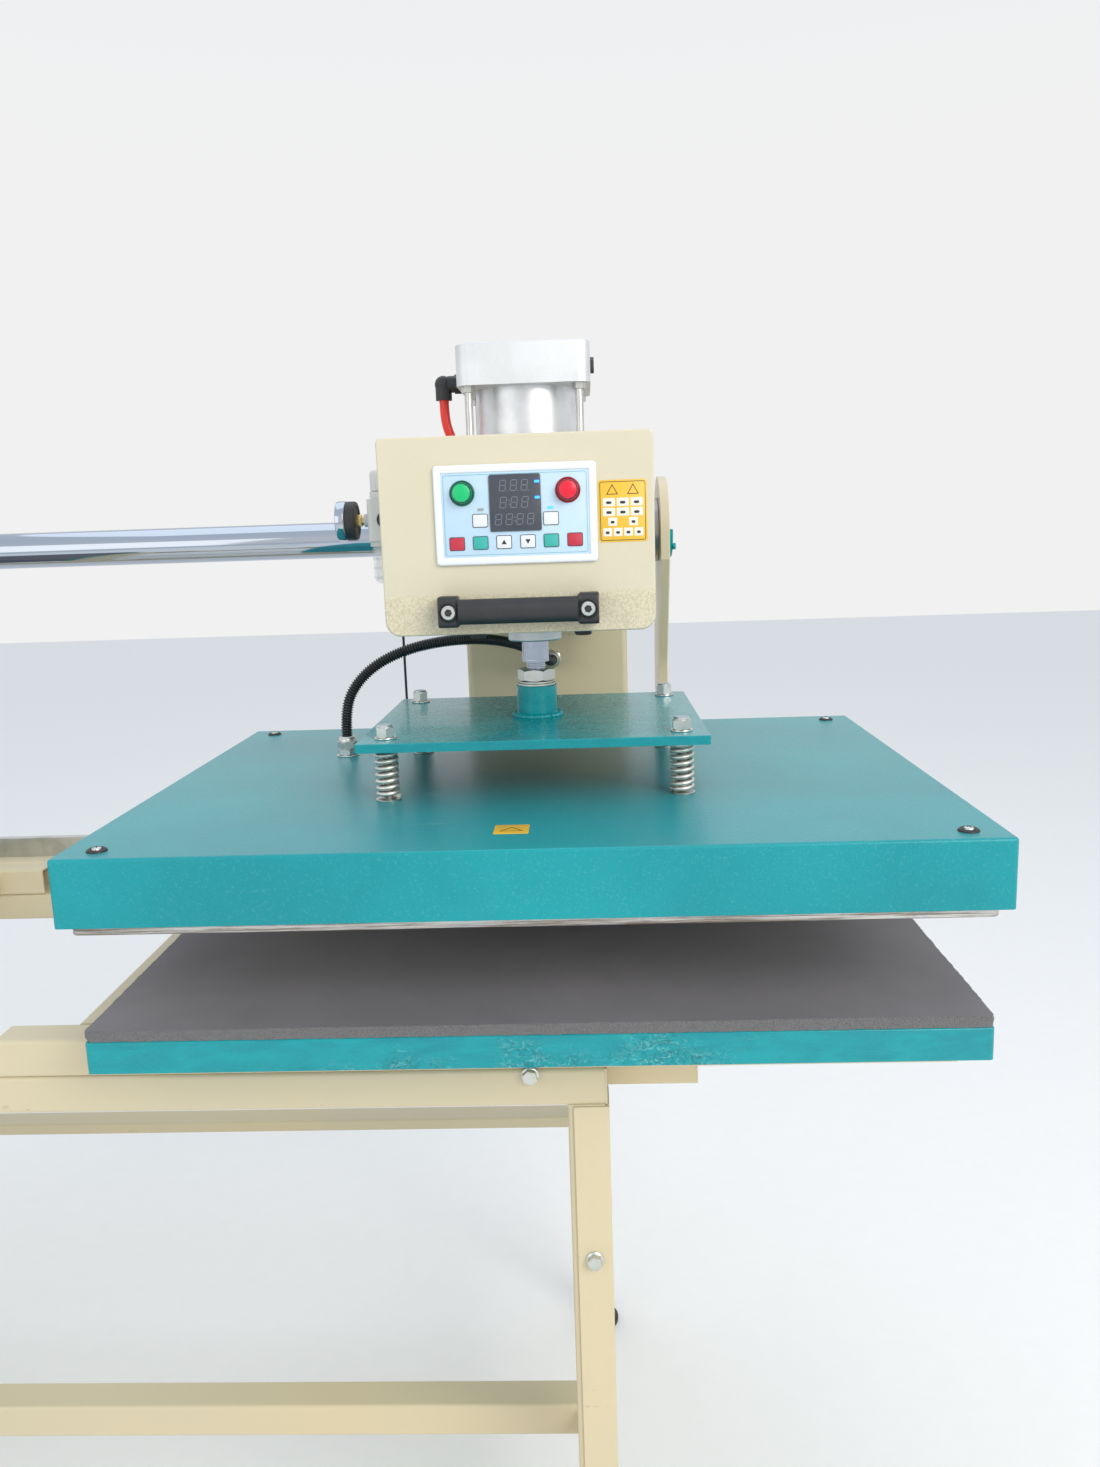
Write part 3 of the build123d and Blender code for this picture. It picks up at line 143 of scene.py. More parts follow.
def hexagon(across, height, start, axis="Z", turn=0.0, both=True, steps=72):
    """A nut or bolt head: hexagon sides, with corners cut by a 30 degree cone on one or both ends."""
    angle = np.arange(steps) * TURN / steps + turn
    side = hexagon_radius(angle - turn, across)
    round_edge = np.minimum(side, across / 2 * 0.97)
    drop = (side - round_edge) * math.tan(math.radians(30))
    low_drop = drop if both else drop * 0
    low_edge = round_edge if both else side
    radius = np.stack([low_edge, side, side, round_edge])
    level = np.stack([side * 0, low_drop, height - drop, side * 0 + height])
    return shell(placed(radius * np.cos(angle), radius * np.sin(angle), level, start, axis))


def rounded(width, height, corner, steps=6):
    """Outline of a rectangle with circular corners: each corner's centre plus a quarter circle."""
    corner = max(corner, 1e-5)
    angle = np.linspace(0, TURN / 4, steps)
    quarter = np.arange(4)[:, None] * TURN / 4 + angle
    sign_x = np.array([1, -1, -1, 1])[:, None]
    sign_y = np.array([1, 1, -1, -1])[:, None]
    x = sign_x * (width / 2 - corner) + corner * np.cos(quarter)
    y = sign_y * (height / 2 - corner) + corner * np.sin(quarter)
    return np.stack([x.ravel(), y.ravel()], -1)


def slab(width, height, corner, layers, start, axis="Z", steps=6):
    """A rounded rectangle stacked in layers of (inset, level)."""
    rings = []
    for inset, level in layers:
        outline = rounded(width - 2 * inset, height - 2 * inset, max(corner - inset, 0.00002), steps)
        rings.append(placed(outline[:, 0], outline[:, 1], np.full(len(outline), level), start, axis))
    return shell(np.stack(rings))


def plate(width, height, corner, thick, start, axis="Z", edge=0.0004, steps=6):
    """A thin rounded rectangle with a soft upper edge."""
    return slab(width, height, corner, [(0, 0), (0, thick - edge), (edge * 0.3, thick - edge * 0.3), (edge, thick)],
                start, axis, steps)


def frames(path, reference=(0.0, 0.0, 1.0)):
    """Directions along a path and the two directions square to it, from cross products with a reference."""
    along = np.gradient(path, axis=0)
    along /= np.linalg.norm(along, axis=1, keepdims=True)
    side = np.cross(along, np.array(reference, float))
    side /= np.linalg.norm(side, axis=1, keepdims=True)
    return along, side, np.cross(side, along)


def tube(path, radius, steps=16, reference=(0.0, 0.0, 1.0), lids=True):
    """A round tube: each path point plus radius times the cosine and sine of the angle round it."""
    _, side, up = frames(path, reference)
    angle = np.arange(steps) * TURN / steps
    radius = np.broadcast_to(radius, len(path))[:, None, None]
    rings = path[:, None] + radius * (np.cos(angle)[:, None] * side[:, None] - np.sin(angle)[:, None] * up[:, None])
    return shell(rings[:, ::-1], lids=lids)


def drawn(points, name):
    """Points along the smooth line of a route: a quadratic NURBS spline through its control polygon."""
    line = bpy.data.curves.new(name, "CURVE")
    line.dimensions = "3D"
    line.resolution_u = 16
    spline = line.splines.new("NURBS")
    spline.points.add(len(points) - 1)
    spline.points.foreach_set("co", np.c_[points, np.ones(len(points))].ravel())
    spline.order_u = 3
    spline.use_endpoint_u = True
    holder = bpy.data.objects.new(name, line)
    mesh = bpy.data.meshes.new_from_object(holder)
    path = np.zeros(len(mesh.vertices) * 3)
    mesh.vertices.foreach_get("co", path)
    bpy.data.objects.remove(holder)
    return path.reshape(-1, 3)


def spaced(path, step):
    """The same line with points at equal distances along it."""
    lengths = np.r_[0, np.cumsum(np.linalg.norm(np.diff(path, axis=0), axis=1))]
    count = max(int(lengths[-1] / step), 2)
    places = np.linspace(0, lengths[-1], count + 1)
    return np.stack([np.interp(places, lengths, path[:, i]) for i in range(3)], -1), lengths[-1]


def made(name, shape, finish, body=None, sharp=35.0):
    """One object from points and faces, smooth up to a sharp angle, riding on a body."""
    points, faces = shape
    mesh = bpy.data.meshes.new(name)
    mesh.from_pydata(points.tolist(), [], faces)
    mesh.polygons.foreach_set("use_smooth", [True] * len(mesh.polygons))
    mesh.set_sharp_from_angle(angle=math.radians(sharp))
    mesh.materials.append(finish)
    piece = bpy.data.objects.new(name, mesh)
    bpy.context.scene.collection.objects.link(piece)
    if body:
        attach(piece, body)
    return piece


# ---- finishes ----------------------------------------------------------------------
class Number:
    """A number socket; arithmetic on it adds Math nodes to its finish."""

    def __init__(self, finish, socket):
        self.finish = finish
        self.socket = socket

    def _math(self, operation, *values):
        """One Math node on these values."""
        return self.finish.number("ShaderNodeMath", {"operation": operation}, dict(enumerate(values)))

    def __add__(self, other):
        return self._math("ADD", self, other)

    def __sub__(self, other):
        return self._math("SUBTRACT", self, other)

    def __rsub__(self, other):
        return self._math("SUBTRACT", other, self)

    def __mul__(self, other):
        return self._math("MULTIPLY", self, other)

    def __truediv__(self, other):
        return self._math("DIVIDE", self, other)

    def __pow__(self, other):
        return self._math("POWER", self, other)

    __radd__ = __add__
    __rmul__ = __mul__

    def lesser(self, other):
        """The smaller of two values."""
        return self._math("MINIMUM", self, other)

    def greater(self, other):
        """The larger of two values."""
        return self._math("MAXIMUM", self, other)

    def size(self):
        """The value without its sign."""
        return self._math("ABSOLUTE", self)

    def wave(self):
        """The sine of the value."""
        return self._math("SINE", self)

    def rise(self, start, end):
        """0 below start, 1 above end and a smooth rise between."""
        return self.finish.number("ShaderNodeMapRange", {"interpolation_type": "SMOOTHSTEP"},
                                  {0: self, 1: start, 2: end, 3: 0.0, 4: 1.0})


class Finish:
    """One material: a principled shader fed from object coordinates."""

    @classmethod
    def over(cls, tree):
        """The same helpers on a tree that has no principled shader, such as the surround's."""
        helper = cls.__new__(cls)
        helper.tree = tree
        return helper

    def __init__(self, name, **fixed):
        self.material = bpy.data.materials.new(name)
        self.material.use_nodes = True
        self.tree = self.material.node_tree
        self.shader = self.tree.nodes["Principled BSDF"]
        for socket, value in fixed.items():
            self.shader.inputs[socket.replace("_", " ")].default_value = value
        self.place = self.node("ShaderNodeTexCoord").outputs["Object"]
        self.normal = None

    def node(self, kind, settings=None, inputs=None):
        """A node of a type, with its settings set first and its sockets fed next."""
        node = self.tree.nodes.new(kind)
        for name, value in (settings or {}).items():
            if name == "stops":
                ramp = node.color_ramp.elements
                for place, colour in value[2:]:
                    ramp.new(place).color = colour
                for stop, (place, colour) in zip(ramp, sorted(value)):
                    stop.position, stop.color = place, colour
            else:
                setattr(node, name, value)
        for name, value in (inputs or {}).items():
            self.feed(node.inputs[name], value)
        return node

    def feed(self, socket, value):
        """Links or sets one socket."""
        if isinstance(value, Number):
            value = value.socket
        if isinstance(value, bpy.types.NodeSocket):
            self.tree.links.new(value, socket)
        else:
            socket.default_value = value

    def number(self, kind, settings=None, inputs=None, output=0):
        """A node's output as a number."""
        return Number(self, self.node(kind, settings, inputs).outputs[output])

    def stretched(self, stretch=(1, 1, 1), turn=(0, 0, 0), shift=(0, 0, 0)):
        """Object coordinates scaled, turned or shifted."""
        return self.node("ShaderNodeMapping", None, {"Vector": self.place, "Scale": stretch, "Rotation": turn,
                                                     "Location": shift}).outputs[0]

    def noise(self, scale, detail=2.0, rough=0.5, where=None, warp=0.0):
        """Cloudy noise with a number of features per metre."""
        return self.number("ShaderNodeTexNoise", None, {"Vector": where or self.place, "Scale": scale,
                                                        "Detail": detail, "Roughness": rough, "Distortion": warp})

    def cells(self, scale, where=None, feature="F1"):
        """Distance to the nearest scattered point."""
        return self.number("ShaderNodeTexVoronoi", {"feature": feature},
                           {"Vector": where or self.place, "Scale": scale})

    def along(self, axis):
        """One object coordinate."""
        return self.number("ShaderNodeSeparateXYZ", None, {0: self.place}, output=axis)

    def facing(self, axis):
        """How much the surface faces an axis of the object."""
        return self.number("ShaderNodeSeparateXYZ", None, {0: self.node("ShaderNodeTexCoord").outputs["Normal"]},
                           output=axis)

    def mixed(self, share, first, second):
        """Two colours mixed by a number."""
        first, second = (c if isinstance(c, bpy.types.NodeSocket) else (*c, 1.0) for c in (first, second))
        return self.node("ShaderNodeMix", {"data_type": "RGBA"}, {0: share, 6: first, 7: second}).outputs[2]

    def colour(self, value):
        """Feeds the base colour."""
        self.feed(self.shader.inputs["Base Color"], value if isinstance(value, bpy.types.NodeSocket) else (*value, 1))

    def set(self, **values):
        """Feeds shader sockets that may vary."""
        for name, value in values.items():
            self.feed(self.shader.inputs[name.replace("_", " ")], value)

    def relief(self, height, depth, strength=1.0):
        """Adds a bump of a depth in metres to the normal."""
        inputs = {"Strength": strength, "Distance": depth, "Height": height}
        if self.normal is not None:
            inputs["Normal"] = self.normal
        self.normal = self.node("ShaderNodeBump", None, inputs).outputs[0]
        self.feed(self.shader.inputs["Normal"], self.normal)


CREAM = (0.60, 0.53, 0.37)
CREAM_WARM = (0.64, 0.545, 0.35)
STONE = (0.62, 0.575, 0.435)
STONE_PALE = (0.67, 0.63, 0.49)
TEAL = (0.0, 0.30, 0.335)
TEAL_DEEP = (0.0, 0.235, 0.275)


def cream_paint(name="cream_paint", coarse_below=None, first=CREAM, second=CREAM_WARM):
    """Cream powder coat: soft orange peel, faint cloudiness, scuffs; a coarser band below a level."""
    f = Finish(name, Metallic=0.0, Coat_Roughness=0.16, Specular_IOR_Level=0.4)
    cloud = f.noise(2.3, 3)
    grime = f.noise(9, 5, 0.7).rise(0.62, 0.82) * f.noise(70, 3, 0.7)
    tone = f.mixed(cloud.rise(0.35, 0.7), first, second)
    tone = f.mixed(grime * 0.25, tone, (0.36, 0.30, 0.20))
    scuff = f.noise(5, 2, 0.5, f.stretched((1, 1, 22))).rise(0.70, 0.74) * f.noise(160, 2).rise(0.5, 0.65)
    tone = f.mixed(scuff * 0.35, tone, (0.30, 0.26, 0.19))
    peel = f.noise(330, 2) + f.noise(900, 1) * 0.35
    if coarse_below is not None:
        band = 1 - f.along(2).rise(coarse_below - 0.005, coarse_below + 0.005)
        band = band.lesser(1 - f.facing(1).rise(-0.6, -0.3))
        grain = f.noise(430, 3, 0.6)
        tone = f.mixed(band * 0.6, tone, f.mixed(grain.rise(0.36, 0.62), (0.50, 0.43, 0.29), (0.70, 0.63, 0.46)))
        peel = peel + band * grain * 4.0
        f.set(Roughness=0.40 + band * 0.14 + cloud * 0.05)
    else:
        f.set(Roughness=0.36 + cloud * 0.08 + grime * 0.2)
    f.colour(tone)
    f.set(Coat_Weight=0.20 - grime * 0.18)
    f.relief(peel, 0.00012)
    return f.material


def teal_enamel(name="teal_enamel", chipped=True):
    """Sprayed gloss teal: soft runs, and on cut edges thin pale and dark scratches and small chips."""
    f = Finish(name, Metallic=0.0, Coat_Roughness=0.05, Specular_IOR_Level=0.35)
    runs = f.noise(16, 4, 0.6, f.stretched((1, 1, 3)), warp=1.2)
    lumps = f.noise(70, 3, 0.5, f.stretched((1, 1, 2.2)), warp=2.0)
    tone = f.mixed(runs.rise(0.3, 0.75), TEAL_DEEP, TEAL)
    if chipped:
        where = f.noise(9, 2, 0.5).rise(0.56, 0.68)
        line = 1 - ((f.noise(34, 3, 0.6, f.stretched((1, 1, 2.6)), warp=1.5) - 0.5).size() * 16).lesser(1.0)
        pale = line ** 3 * where
        dark = (1 - ((f.noise(52, 2, 0.6, warp=2.5) - 0.48).size() * 20).lesser(1.0)) ** 3 * where
        tone = f.mixed(pale * 0.5, tone, (0.25, 0.66, 0.66))
        tone = f.mixed(dark * 0.7, tone, (0.0, 0.09, 0.11))
        lumps = lumps + pale * 1.5 - dark * 1.5
    f.colour(tone)
    f.set(Roughness=0.24 + lumps * 0.06, Coat_Weight=0.16 + runs * 0.10)
    f.relief(runs * 0.5 + lumps, 0.00022)
    return f.material


def teal_texture():
    """Teal fine-texture powder coat: dense tiny grains; upward faces a little paler, more in stained patches, with pale
    marks.
    """
    f = Finish("teal_texture", Metallic=0.0, Coat_Roughness=0.2, Coat_Weight=0.12, Specular_IOR_Level=0.35)
    grain = f.noise(480, 2, 0.6)
    speck = f.cells(700).rise(0.05, 0.35)
    cloud = f.noise(3, 4, 0.6)
    tone = f.mixed(cloud.rise(0.3, 0.7), (0.0, 0.235, 0.275), (0.0, 0.30, 0.335))
    tone = f.mixed(grain.rise(0.56, 0.75) * 0.22, tone, (0.14, 0.44, 0.47))
    top = f.facing(2).rise(0.6, 0.95)
    stain = f.noise(6, 5, 0.7, warp=0.6).rise(0.6, 0.8)
    # Upward faces mixed slightly towards pale grey-teal, more where the stain noise is high.
    tone = f.mixed(top * (0.04 + stain * 0.08), tone, (0.26, 0.42, 0.43))
    mark = f.noise(4, 3, 0.6, f.stretched((1, 14, 1), (0, 0, 0.5))).rise(0.74, 0.77)
    f.colour(f.mixed(mark * 0.25 * top, tone, (0.45, 0.55, 0.55)))
    f.set(Roughness=0.24 + grain * 0.14 + stain * 0.08)
    f.relief(grain + speck * 0.4, 0.00040)
    return f.material


def chrome_painted_reflection(name="chrome"):
    """Hard chrome on a ground bar: faint rings of grinding, a few fine streaks along it, and a painted blue-grey
    reflection.
    """
    f = Finish(name, Metallic=1.0)
    rings = f.noise(900, 2, 0.5, f.stretched((1, 0.02, 0.02)))
    streak = f.noise(60, 3, 0.6, f.stretched((0.05, 1, 1))).rise(0.62, 0.75)
    # Blue-grey base colours: a painted reflection, darker and bluer than neutral chrome.
    f.colour(f.mixed(streak * 0.3, (0.46, 0.51, 0.58), (0.38, 0.41, 0.46)))
    f.set(Roughness=0.055 + streak * 0.10 + rings * 0.03)
    f.relief(rings, 0.000004)
    return f.material


def plain_metal(name, colour, rough, grain=400.0, relief=0.00004, stretch=(1, 1, 1), tint=None):
    """Bare or plated metal: fine grain, cloudy roughness and a tint that comes and goes."""
    f = Finish(name, Metallic=1.0)
    fine = f.noise(grain, 3, 0.6, f.stretched(stretch))
    cloud = f.noise(35, 3, 0.6)
    f.colour(f.mixed(cloud.rise(0.35, 0.75), colour, tint or tuple(c * 0.8 for c in colour)))
    f.set(Roughness=rough + fine * 0.16 + cloud * 0.08)
    f.relief(fine, relief)
    return f.material


def cast_aluminium(name="cast_aluminium", stained=False):
    """Shot-blasted casting: pale matt grain; on the hot plate, heat stains and scratches."""
    f = Finish(name, Metallic=0.85)
    grain = f.noise(520, 3, 0.6)
    pits = f.cells(260).rise(0.0, 0.3)
    cloud = f.noise(12, 4, 0.6)
    tone = f.mixed(cloud.rise(0.4, 0.7), (0.74, 0.76, 0.78), (0.64, 0.66, 0.67))
    if stained:
        layers = f.noise(9, 5, 0.8, f.stretched((1, 1, 55)))
        tone = f.mixed(layers.rise(0.38, 0.62), (0.20, 0.165, 0.13), (0.66, 0.66, 0.64))
        brown = f.noise(26, 5, 0.75, f.stretched((1, 1, 2))).rise(0.52, 0.68)
        tone = f.mixed(brown * 0.45, tone, (0.22, 0.17, 0.12))
        blue = f.noise(14, 3, 0.6).rise(0.58, 0.7)
        tone = f.mixed(blue * 0.35, tone, (0.30, 0.38, 0.55))
    f.colour(tone)
    f.set(Roughness=0.40 + grain * 0.18)
    f.relief(grain + pits * 0.4, 0.00010)
    return f.material


def moulded(name, colour, rough=0.45, grain=900.0, depth=0.00006, pale=0.25):
    """Moulded plastic: fine spark-eroded grain, slightly paler where it is handled."""
    f = Finish(name, Metallic=0.0)
    fine = f.noise(grain, 2, 0.6)
    worn = f.noise(22, 4, 0.6).rise(0.5, 0.8)
    f.colour(f.mixed(worn * pale, colour, tuple(min(c * 1.5 + 0.02, 1) for c in colour)))
    f.set(Roughness=rough + fine * 0.12 - worn * 0.05)
    f.relief(fine, depth)
    return f.material


def flange_steel():
    """Turned steel, teal-painted on the keeper plates outside the end plates."""
    f = Finish("flange_steel", Specular_IOR_Level=0.35)
    outside = f.along(0).rise(high("right_end_plate")[0] - 0.001, high("right_end_plate")[0] + 0.0005)
    outside = outside.greater((f.along(0) * -1).rise(-low("left_end_plate")[0] - 0.001,
                                                     -low("left_end_plate")[0] + 0.0005))
    rings = f.noise(900, 2, 0.5, f.stretched((1, 0.1, 0.1)))
    cloud = f.noise(35, 3)
    f.colour(f.mixed(outside, f.mixed(cloud, (0.50, 0.50, 0.50), (0.38, 0.38, 0.37)), TEAL))
    f.set(Roughness=0.26 + rings * 0.12, Metallic=1 - outside)
    f.relief(rings, 0.00003)
    return f.material


def sponge():
    """Silicone sponge: a dull skin on top with scuffs, open pores on its cut edges with their centres painted dark as
    shade.
    """
    f = Finish("sponge", Metallic=0.0, Sheen_Weight=0.25, Sheen_Roughness=0.6)
    cut = 1 - f.facing(2).rise(0.55, 0.9)
    pores = f.cells(640, f.stretched((1, 1, 1.3)))
    fine = f.cells(1300)
    skin = f.noise(240, 3, 0.6)
    pale = f.noise(5, 4, 0.6)
    top = f.mixed(pale.rise(0.35, 0.7), (0.085, 0.082, 0.10), (0.125, 0.12, 0.14))
    dusty = f.noise(40, 4, 0.8).rise(0.66, 0.8)
    top = f.mixed(dusty * 0.25, top, (0.24, 0.235, 0.25))
    # Cut faces: near-black at the pore centres, painted shade inside the open cells, grey between them.
    edge = f.mixed(pores.rise(0.10, 0.34), (0.03, 0.03, 0.034), (0.135, 0.135, 0.14))
    f.colour(f.mixed(cut, top, edge))
    f.set(Roughness=0.86 - (1 - cut) * 0.14)
    f.relief(skin * 0.25 * (1 - cut) + cut * (pores * 2.4 + fine * 1.2), 0.00040)
    return f.material


def corrugated():
    """Black polyamide conduit: satin, with faint dust; grooves painted near-black as shade and ridges painted blue-grey
    as a highlight.
    """
    f = Finish("conduit_black", Metallic=0.0)
    fine = f.noise(500, 2, 0.6)
    rib = f.number("ShaderNodeAttribute", {"attribute_name": "rib"}, None, 2)
    dust = f.noise(35, 4, 0.7).rise(0.5, 0.8)
    # Painted shade and highlight: near-black in the grooves, blue-grey on the ridges, following the rib height.
    tone = f.mixed(rib, (0.003, 0.003, 0.004), (0.030, 0.036, 0.044))
    f.colour(f.mixed(dust * 0.2, tone, (0.07, 0.07, 0.068)))
    f.set(Roughness=0.50 - rib * 0.22 + fine * 0.08 + dust * 0.15)
    f.relief(fine, 0.00004)
    return f.material


def clear(name, tint=(0.92, 0.95, 0.96), alpha=0.22, rough=0.06):
    """Clear plastic or glass, thin enough to see through, with faint haze."""
    f = Finish(name, Metallic=0.0, IOR=1.49)
    haze = f.noise(60, 3, 0.6)
    f.colour(f.mixed(haze, tint, tuple(c * 0.94 for c in tint)))
    f.set(Roughness=rough + haze * 0.05, Alpha=alpha + haze * 0.08)
    return f.material


def printed(name, colour, rough=0.32, gloss=0.25, glow=None):
    """Printed film or a label: nearly flat, with a faint mottle and a satin sheen; it may glow."""
    f = Finish(name, Metallic=0.0, Coat_Weight=gloss, Coat_Roughness=0.2)
    mottle = f.noise(90, 3, 0.6)
    tone = f.mixed(mottle, colour, tuple(c * 0.9 for c in colour))
    f.colour(tone)
    f.set(Roughness=rough + mottle * 0.08)
    f.relief(f.noise(350, 2), 0.00002)
    if glow:
        f.shader.inputs["Emission Color"].default_value = (*colour, 1)
        f.shader.inputs["Emission Strength"].default_value = glow
    return f.material


def rubber(name="rubber", colour=(0.022, 0.022, 0.024)):
    """Black rubber: dull, with bloom and fine grain."""
    f = Finish(name, Metallic=0.0, Sheen_Weight=0.1)
    bloom = f.noise(30, 4, 0.7).rise(0.45, 0.8)
    f.colour(f.mixed(bloom * 0.4, colour, (0.075, 0.073, 0.07)))
    f.set(Roughness=0.62 + bloom * 0.2)
    f.relief(f.noise(700, 3), 0.00006)
    return f.material


def glass_wool():
    """Insulating blanket: matted pale fibres."""
    f = Finish("glass_wool", Metallic=0.0, Sheen_Weight=0.4)
    fibre = f.noise(180, 4, 0.7, f.stretched((1, 5, 3)))
    f.colour(f.mixed(fibre, (0.55, 0.50, 0.36), (0.82, 0.79, 0.66)))
    f.set(Roughness=0.92 - fibre * 0.05)
    f.relief(fibre, 0.0008)
    return f.material


PAINT = cream_paint()
HEAD_PAINT = cream_paint("head_cream", HEAD_BOTTOM + 0.039, STONE, STONE_PALE)
ENAMEL = teal_enamel()
PLAIN_ENAMEL = teal_enamel("teal_gloss", chipped=False)
TEXTURE = teal_texture()
CHROME_PAINTED_REFLECTION = chrome_painted_reflection()
STEEL = plain_metal("bright_steel", (0.62, 0.62, 0.60), 0.22, 500, 0.00003, (0.05, 1, 1))
TURNED = plain_metal("turned_steel", (0.52, 0.52, 0.52), 0.24, 900, 0.00003)
FLANGE = flange_steel()
ZINC = plain_metal("zinc_plate", (0.66, 0.68, 0.67), 0.20, 260, 0.00003, tint=(0.58, 0.60, 0.52))
SPRING = plain_metal("spring_wire", (0.80, 0.78, 0.72), 0.34, 300, 0.00003)
BRASS = plain_metal("brass", (0.70, 0.52, 0.24), 0.22, 300, 0.00003)
ALUMINIUM = cast_aluminium()
HOT_ALUMINIUM = cast_aluminium("hot_plate", stained=True)
BARREL = plain_metal("barrel_aluminium", (0.74, 0.76, 0.78), 0.26, 700, 0.00003, (1, 1, 0.04))
BLACK = moulded("black_plastic", (0.022, 0.023, 0.026), 0.42)
GREY = moulded("grey_plastic", (0.62, 0.64, 0.62), 0.38, pale=0.1)
WHITE = moulded("white_plastic", (0.76, 0.80, 0.84), 0.28, 500, 0.00002, 0.1)
HOSE_RED = moulded("red_hose", (0.82, 0.035, 0.025), 0.24, 120, 0.00002, 0.1)
RUBBER = rubber()
SPONGE = sponge()
CONDUIT = corrugated()
CLEAR = clear("clear_bowl")
GLASS = clear("gauge_glass", alpha=0.10)
WOOL = glass_wool()
FILM = printed("panel_film", (0.50, 0.68, 0.84))
OUTLINE = printed("panel_outline", (0.16, 0.45, 0.50))
WINDOW = printed("dark_window", (0.035, 0.045, 0.065), 0.12, 0.8)
SEGMENT = printed("unlit_segment", (0.17, 0.19, 0.22), 0.3)
KEY_WHITE = printed("white_key", (0.74, 0.78, 0.80))
KEY_TEAL = printed("teal_key", (0.03, 0.42, 0.37))
KEY_RED = printed("red_key", (0.52, 0.02, 0.05))
INK = printed("ink", (0.015, 0.016, 0.02))
YELLOW = printed("yellow_label", (0.80, 0.48, 0.03))
BLUE_LAMP = printed("blue_lamp", (0.02, 0.25, 0.95), glow=2.2)
GREY_LAMP = printed("grey_lamp", (0.32, 0.35, 0.37))
GREEN_CAP = moulded("green_button", (0.0, 0.50, 0.16), 0.22, 200, 0.00001, 0.1)
RED_CAP = moulded("red_button", (0.72, 0.008, 0.035), 0.22, 200, 0.00001, 0.1)
# Much darker copies of the button colours: painted shade for the skirts and rings round the caps.
GREEN_SKIRT_SHADED = moulded("green_skirt_painted_shade", (0.0, 0.13, 0.075), 0.15, 200, 0.00001, 0.1)
RED_SKIRT_SHADED = moulded("red_skirt_painted_shade", (0.30, 0.004, 0.012), 0.15, 200, 0.00001, 0.1)
DIAL = printed("dial_white", (0.82, 0.82, 0.80))

NODE_FINISH = {
    PAINT: ("legs", "leg_face_plates", "side_frame_bars", "frame_stretchers", "table_beams", "table_cross_tubes",
            "table_side_rails", "main_beam", "right_end_plate", "left_end_plate", "carriage_column", "head_arm",
            "roller_bracket", "valve_box", "tube_end_caps"),
    HEAD_PAINT: ("head_cover",), ENAMEL: ("table_boards",), PLAIN_ENAMEL: ("ram_plate",), TEXTURE: ("heater_cover",),
    CHROME_PAINTED_REFLECTION: ("guide_shaft", "piston_rod"), STEEL: ("guide_bar", "tie_rods"),
    FLANGE: ("shaft_end_flanges",), TURNED: ("linear_bearings", "front_guide_roller", "rear_guide_roller"),
    ZINC: ("frame_bolts", "head_screws", "column_gland", "platen_gland", "cover_screws", "press_studs", "rod_nut"),
    SPRING: ("press_springs",), BRASS: ("position_sensor",), ALUMINIUM: ("cylinder_caps", "rod_gland"),
    BARREL: ("cylinder_tube",), HOT_ALUMINIUM: ("heating_plate",), WOOL: ("insulation_blanket",),
    BLACK: ("air_fittings", "gauge_case", "head_handle", "pressure_knob", "gauge_needle"),
    GREY: ("regulator_body",), WHITE: ("control_panel",), WINDOW: ("display_window",), CLEAR: ("regulator_bowl",),
    GLASS: ("gauge_glass",), RUBBER: ("board_packers", "stop_buffers", "levelling_feet", "sensor_lead"),
    SPONGE: ("table_pads",), CONDUIT: ("conduit",), HOSE_RED: ("air_hose",), GREEN_CAP: ("start_button",),
    RED_CAP: ("stop_button",),
}
for finish, names in NODE_FINISH.items():
    for name in names:
        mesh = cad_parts[name].data
        mesh.materials.clear()
        mesh.materials.append(finish)


# ---- pads --------------------------------------------------------------------------
def ripple(points, scale, seed):
    """Smooth unevenness from -1 to 1: the mean of sines in five seeded directions."""
    rng = np.random.default_rng(seed)
    waves = rng.normal(size=(5, 3)) * scale
    return np.sin(points @ waves.T + rng.uniform(0, TURN, 5)).mean(-1)


def sponge_pads():
    """Two sponge slabs with knife-cut, crumbly sides: rings of a rounded rectangle pushed in and out."""
    lo, hi = low("table_pads"), high("table_pads")
    width = high("heating_plate")[0] - low("heating_plate")[0] - 0.016
    depth, thick = hi[1] - lo[1], hi[2] - lo[2]
    for side, name in ((1, "right_sponge_pad"), (-1, "left_sponge_pad")):
        centre = np.array([side * RAM[0], (lo[1] + hi[1]) / 2, lo[2]])
        rng = np.random.default_rng(7 + side)
        levels = np.r_[np.linspace(0, 1, 7) * thick, np.full(4, thick)]
        insets = np.r_[0.0006, np.zeros(5), 0.0003, 0.0012, 0.004, 0.02, 0.08]
        rings = []
        for inset, level in zip(insets, levels):
            fine = rounded(width - 2 * inset, depth - 2 * inset, 0.004, 4)
            loop, _ = spaced(np.c_[np.r_[fine, fine[:1]], np.zeros(len(fine) + 1)], 0.0035)
            rings.append(loop[:-1, :2] + 0 * level)
        count = min(len(r) for r in rings)
        flat = np.stack([r[np.linspace(0, len(r) - 1, count).astype(int)] for r in rings])
        crumble = rng.uniform(0, 1, flat.shape[:2]) * 0.0011
        crumble[7:] *= 0.1
        scale = 1 - crumble[..., None] / np.maximum(np.abs(flat).max(-1, keepdims=True), 0.01)
        flat = flat * scale
        points = placed(flat[..., 0], flat[..., 1], np.repeat(levels[:, None], count, 1), centre, "Z")
        dip = ripple(points, 14.0, 3)[6:] * 0.00035
        points[6:, :, 2] += dip - 0.00036
        pad = made(name, shell(points), SPONGE, "frame")
        if side > 0:
            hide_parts("table_pads")


sponge_pads()


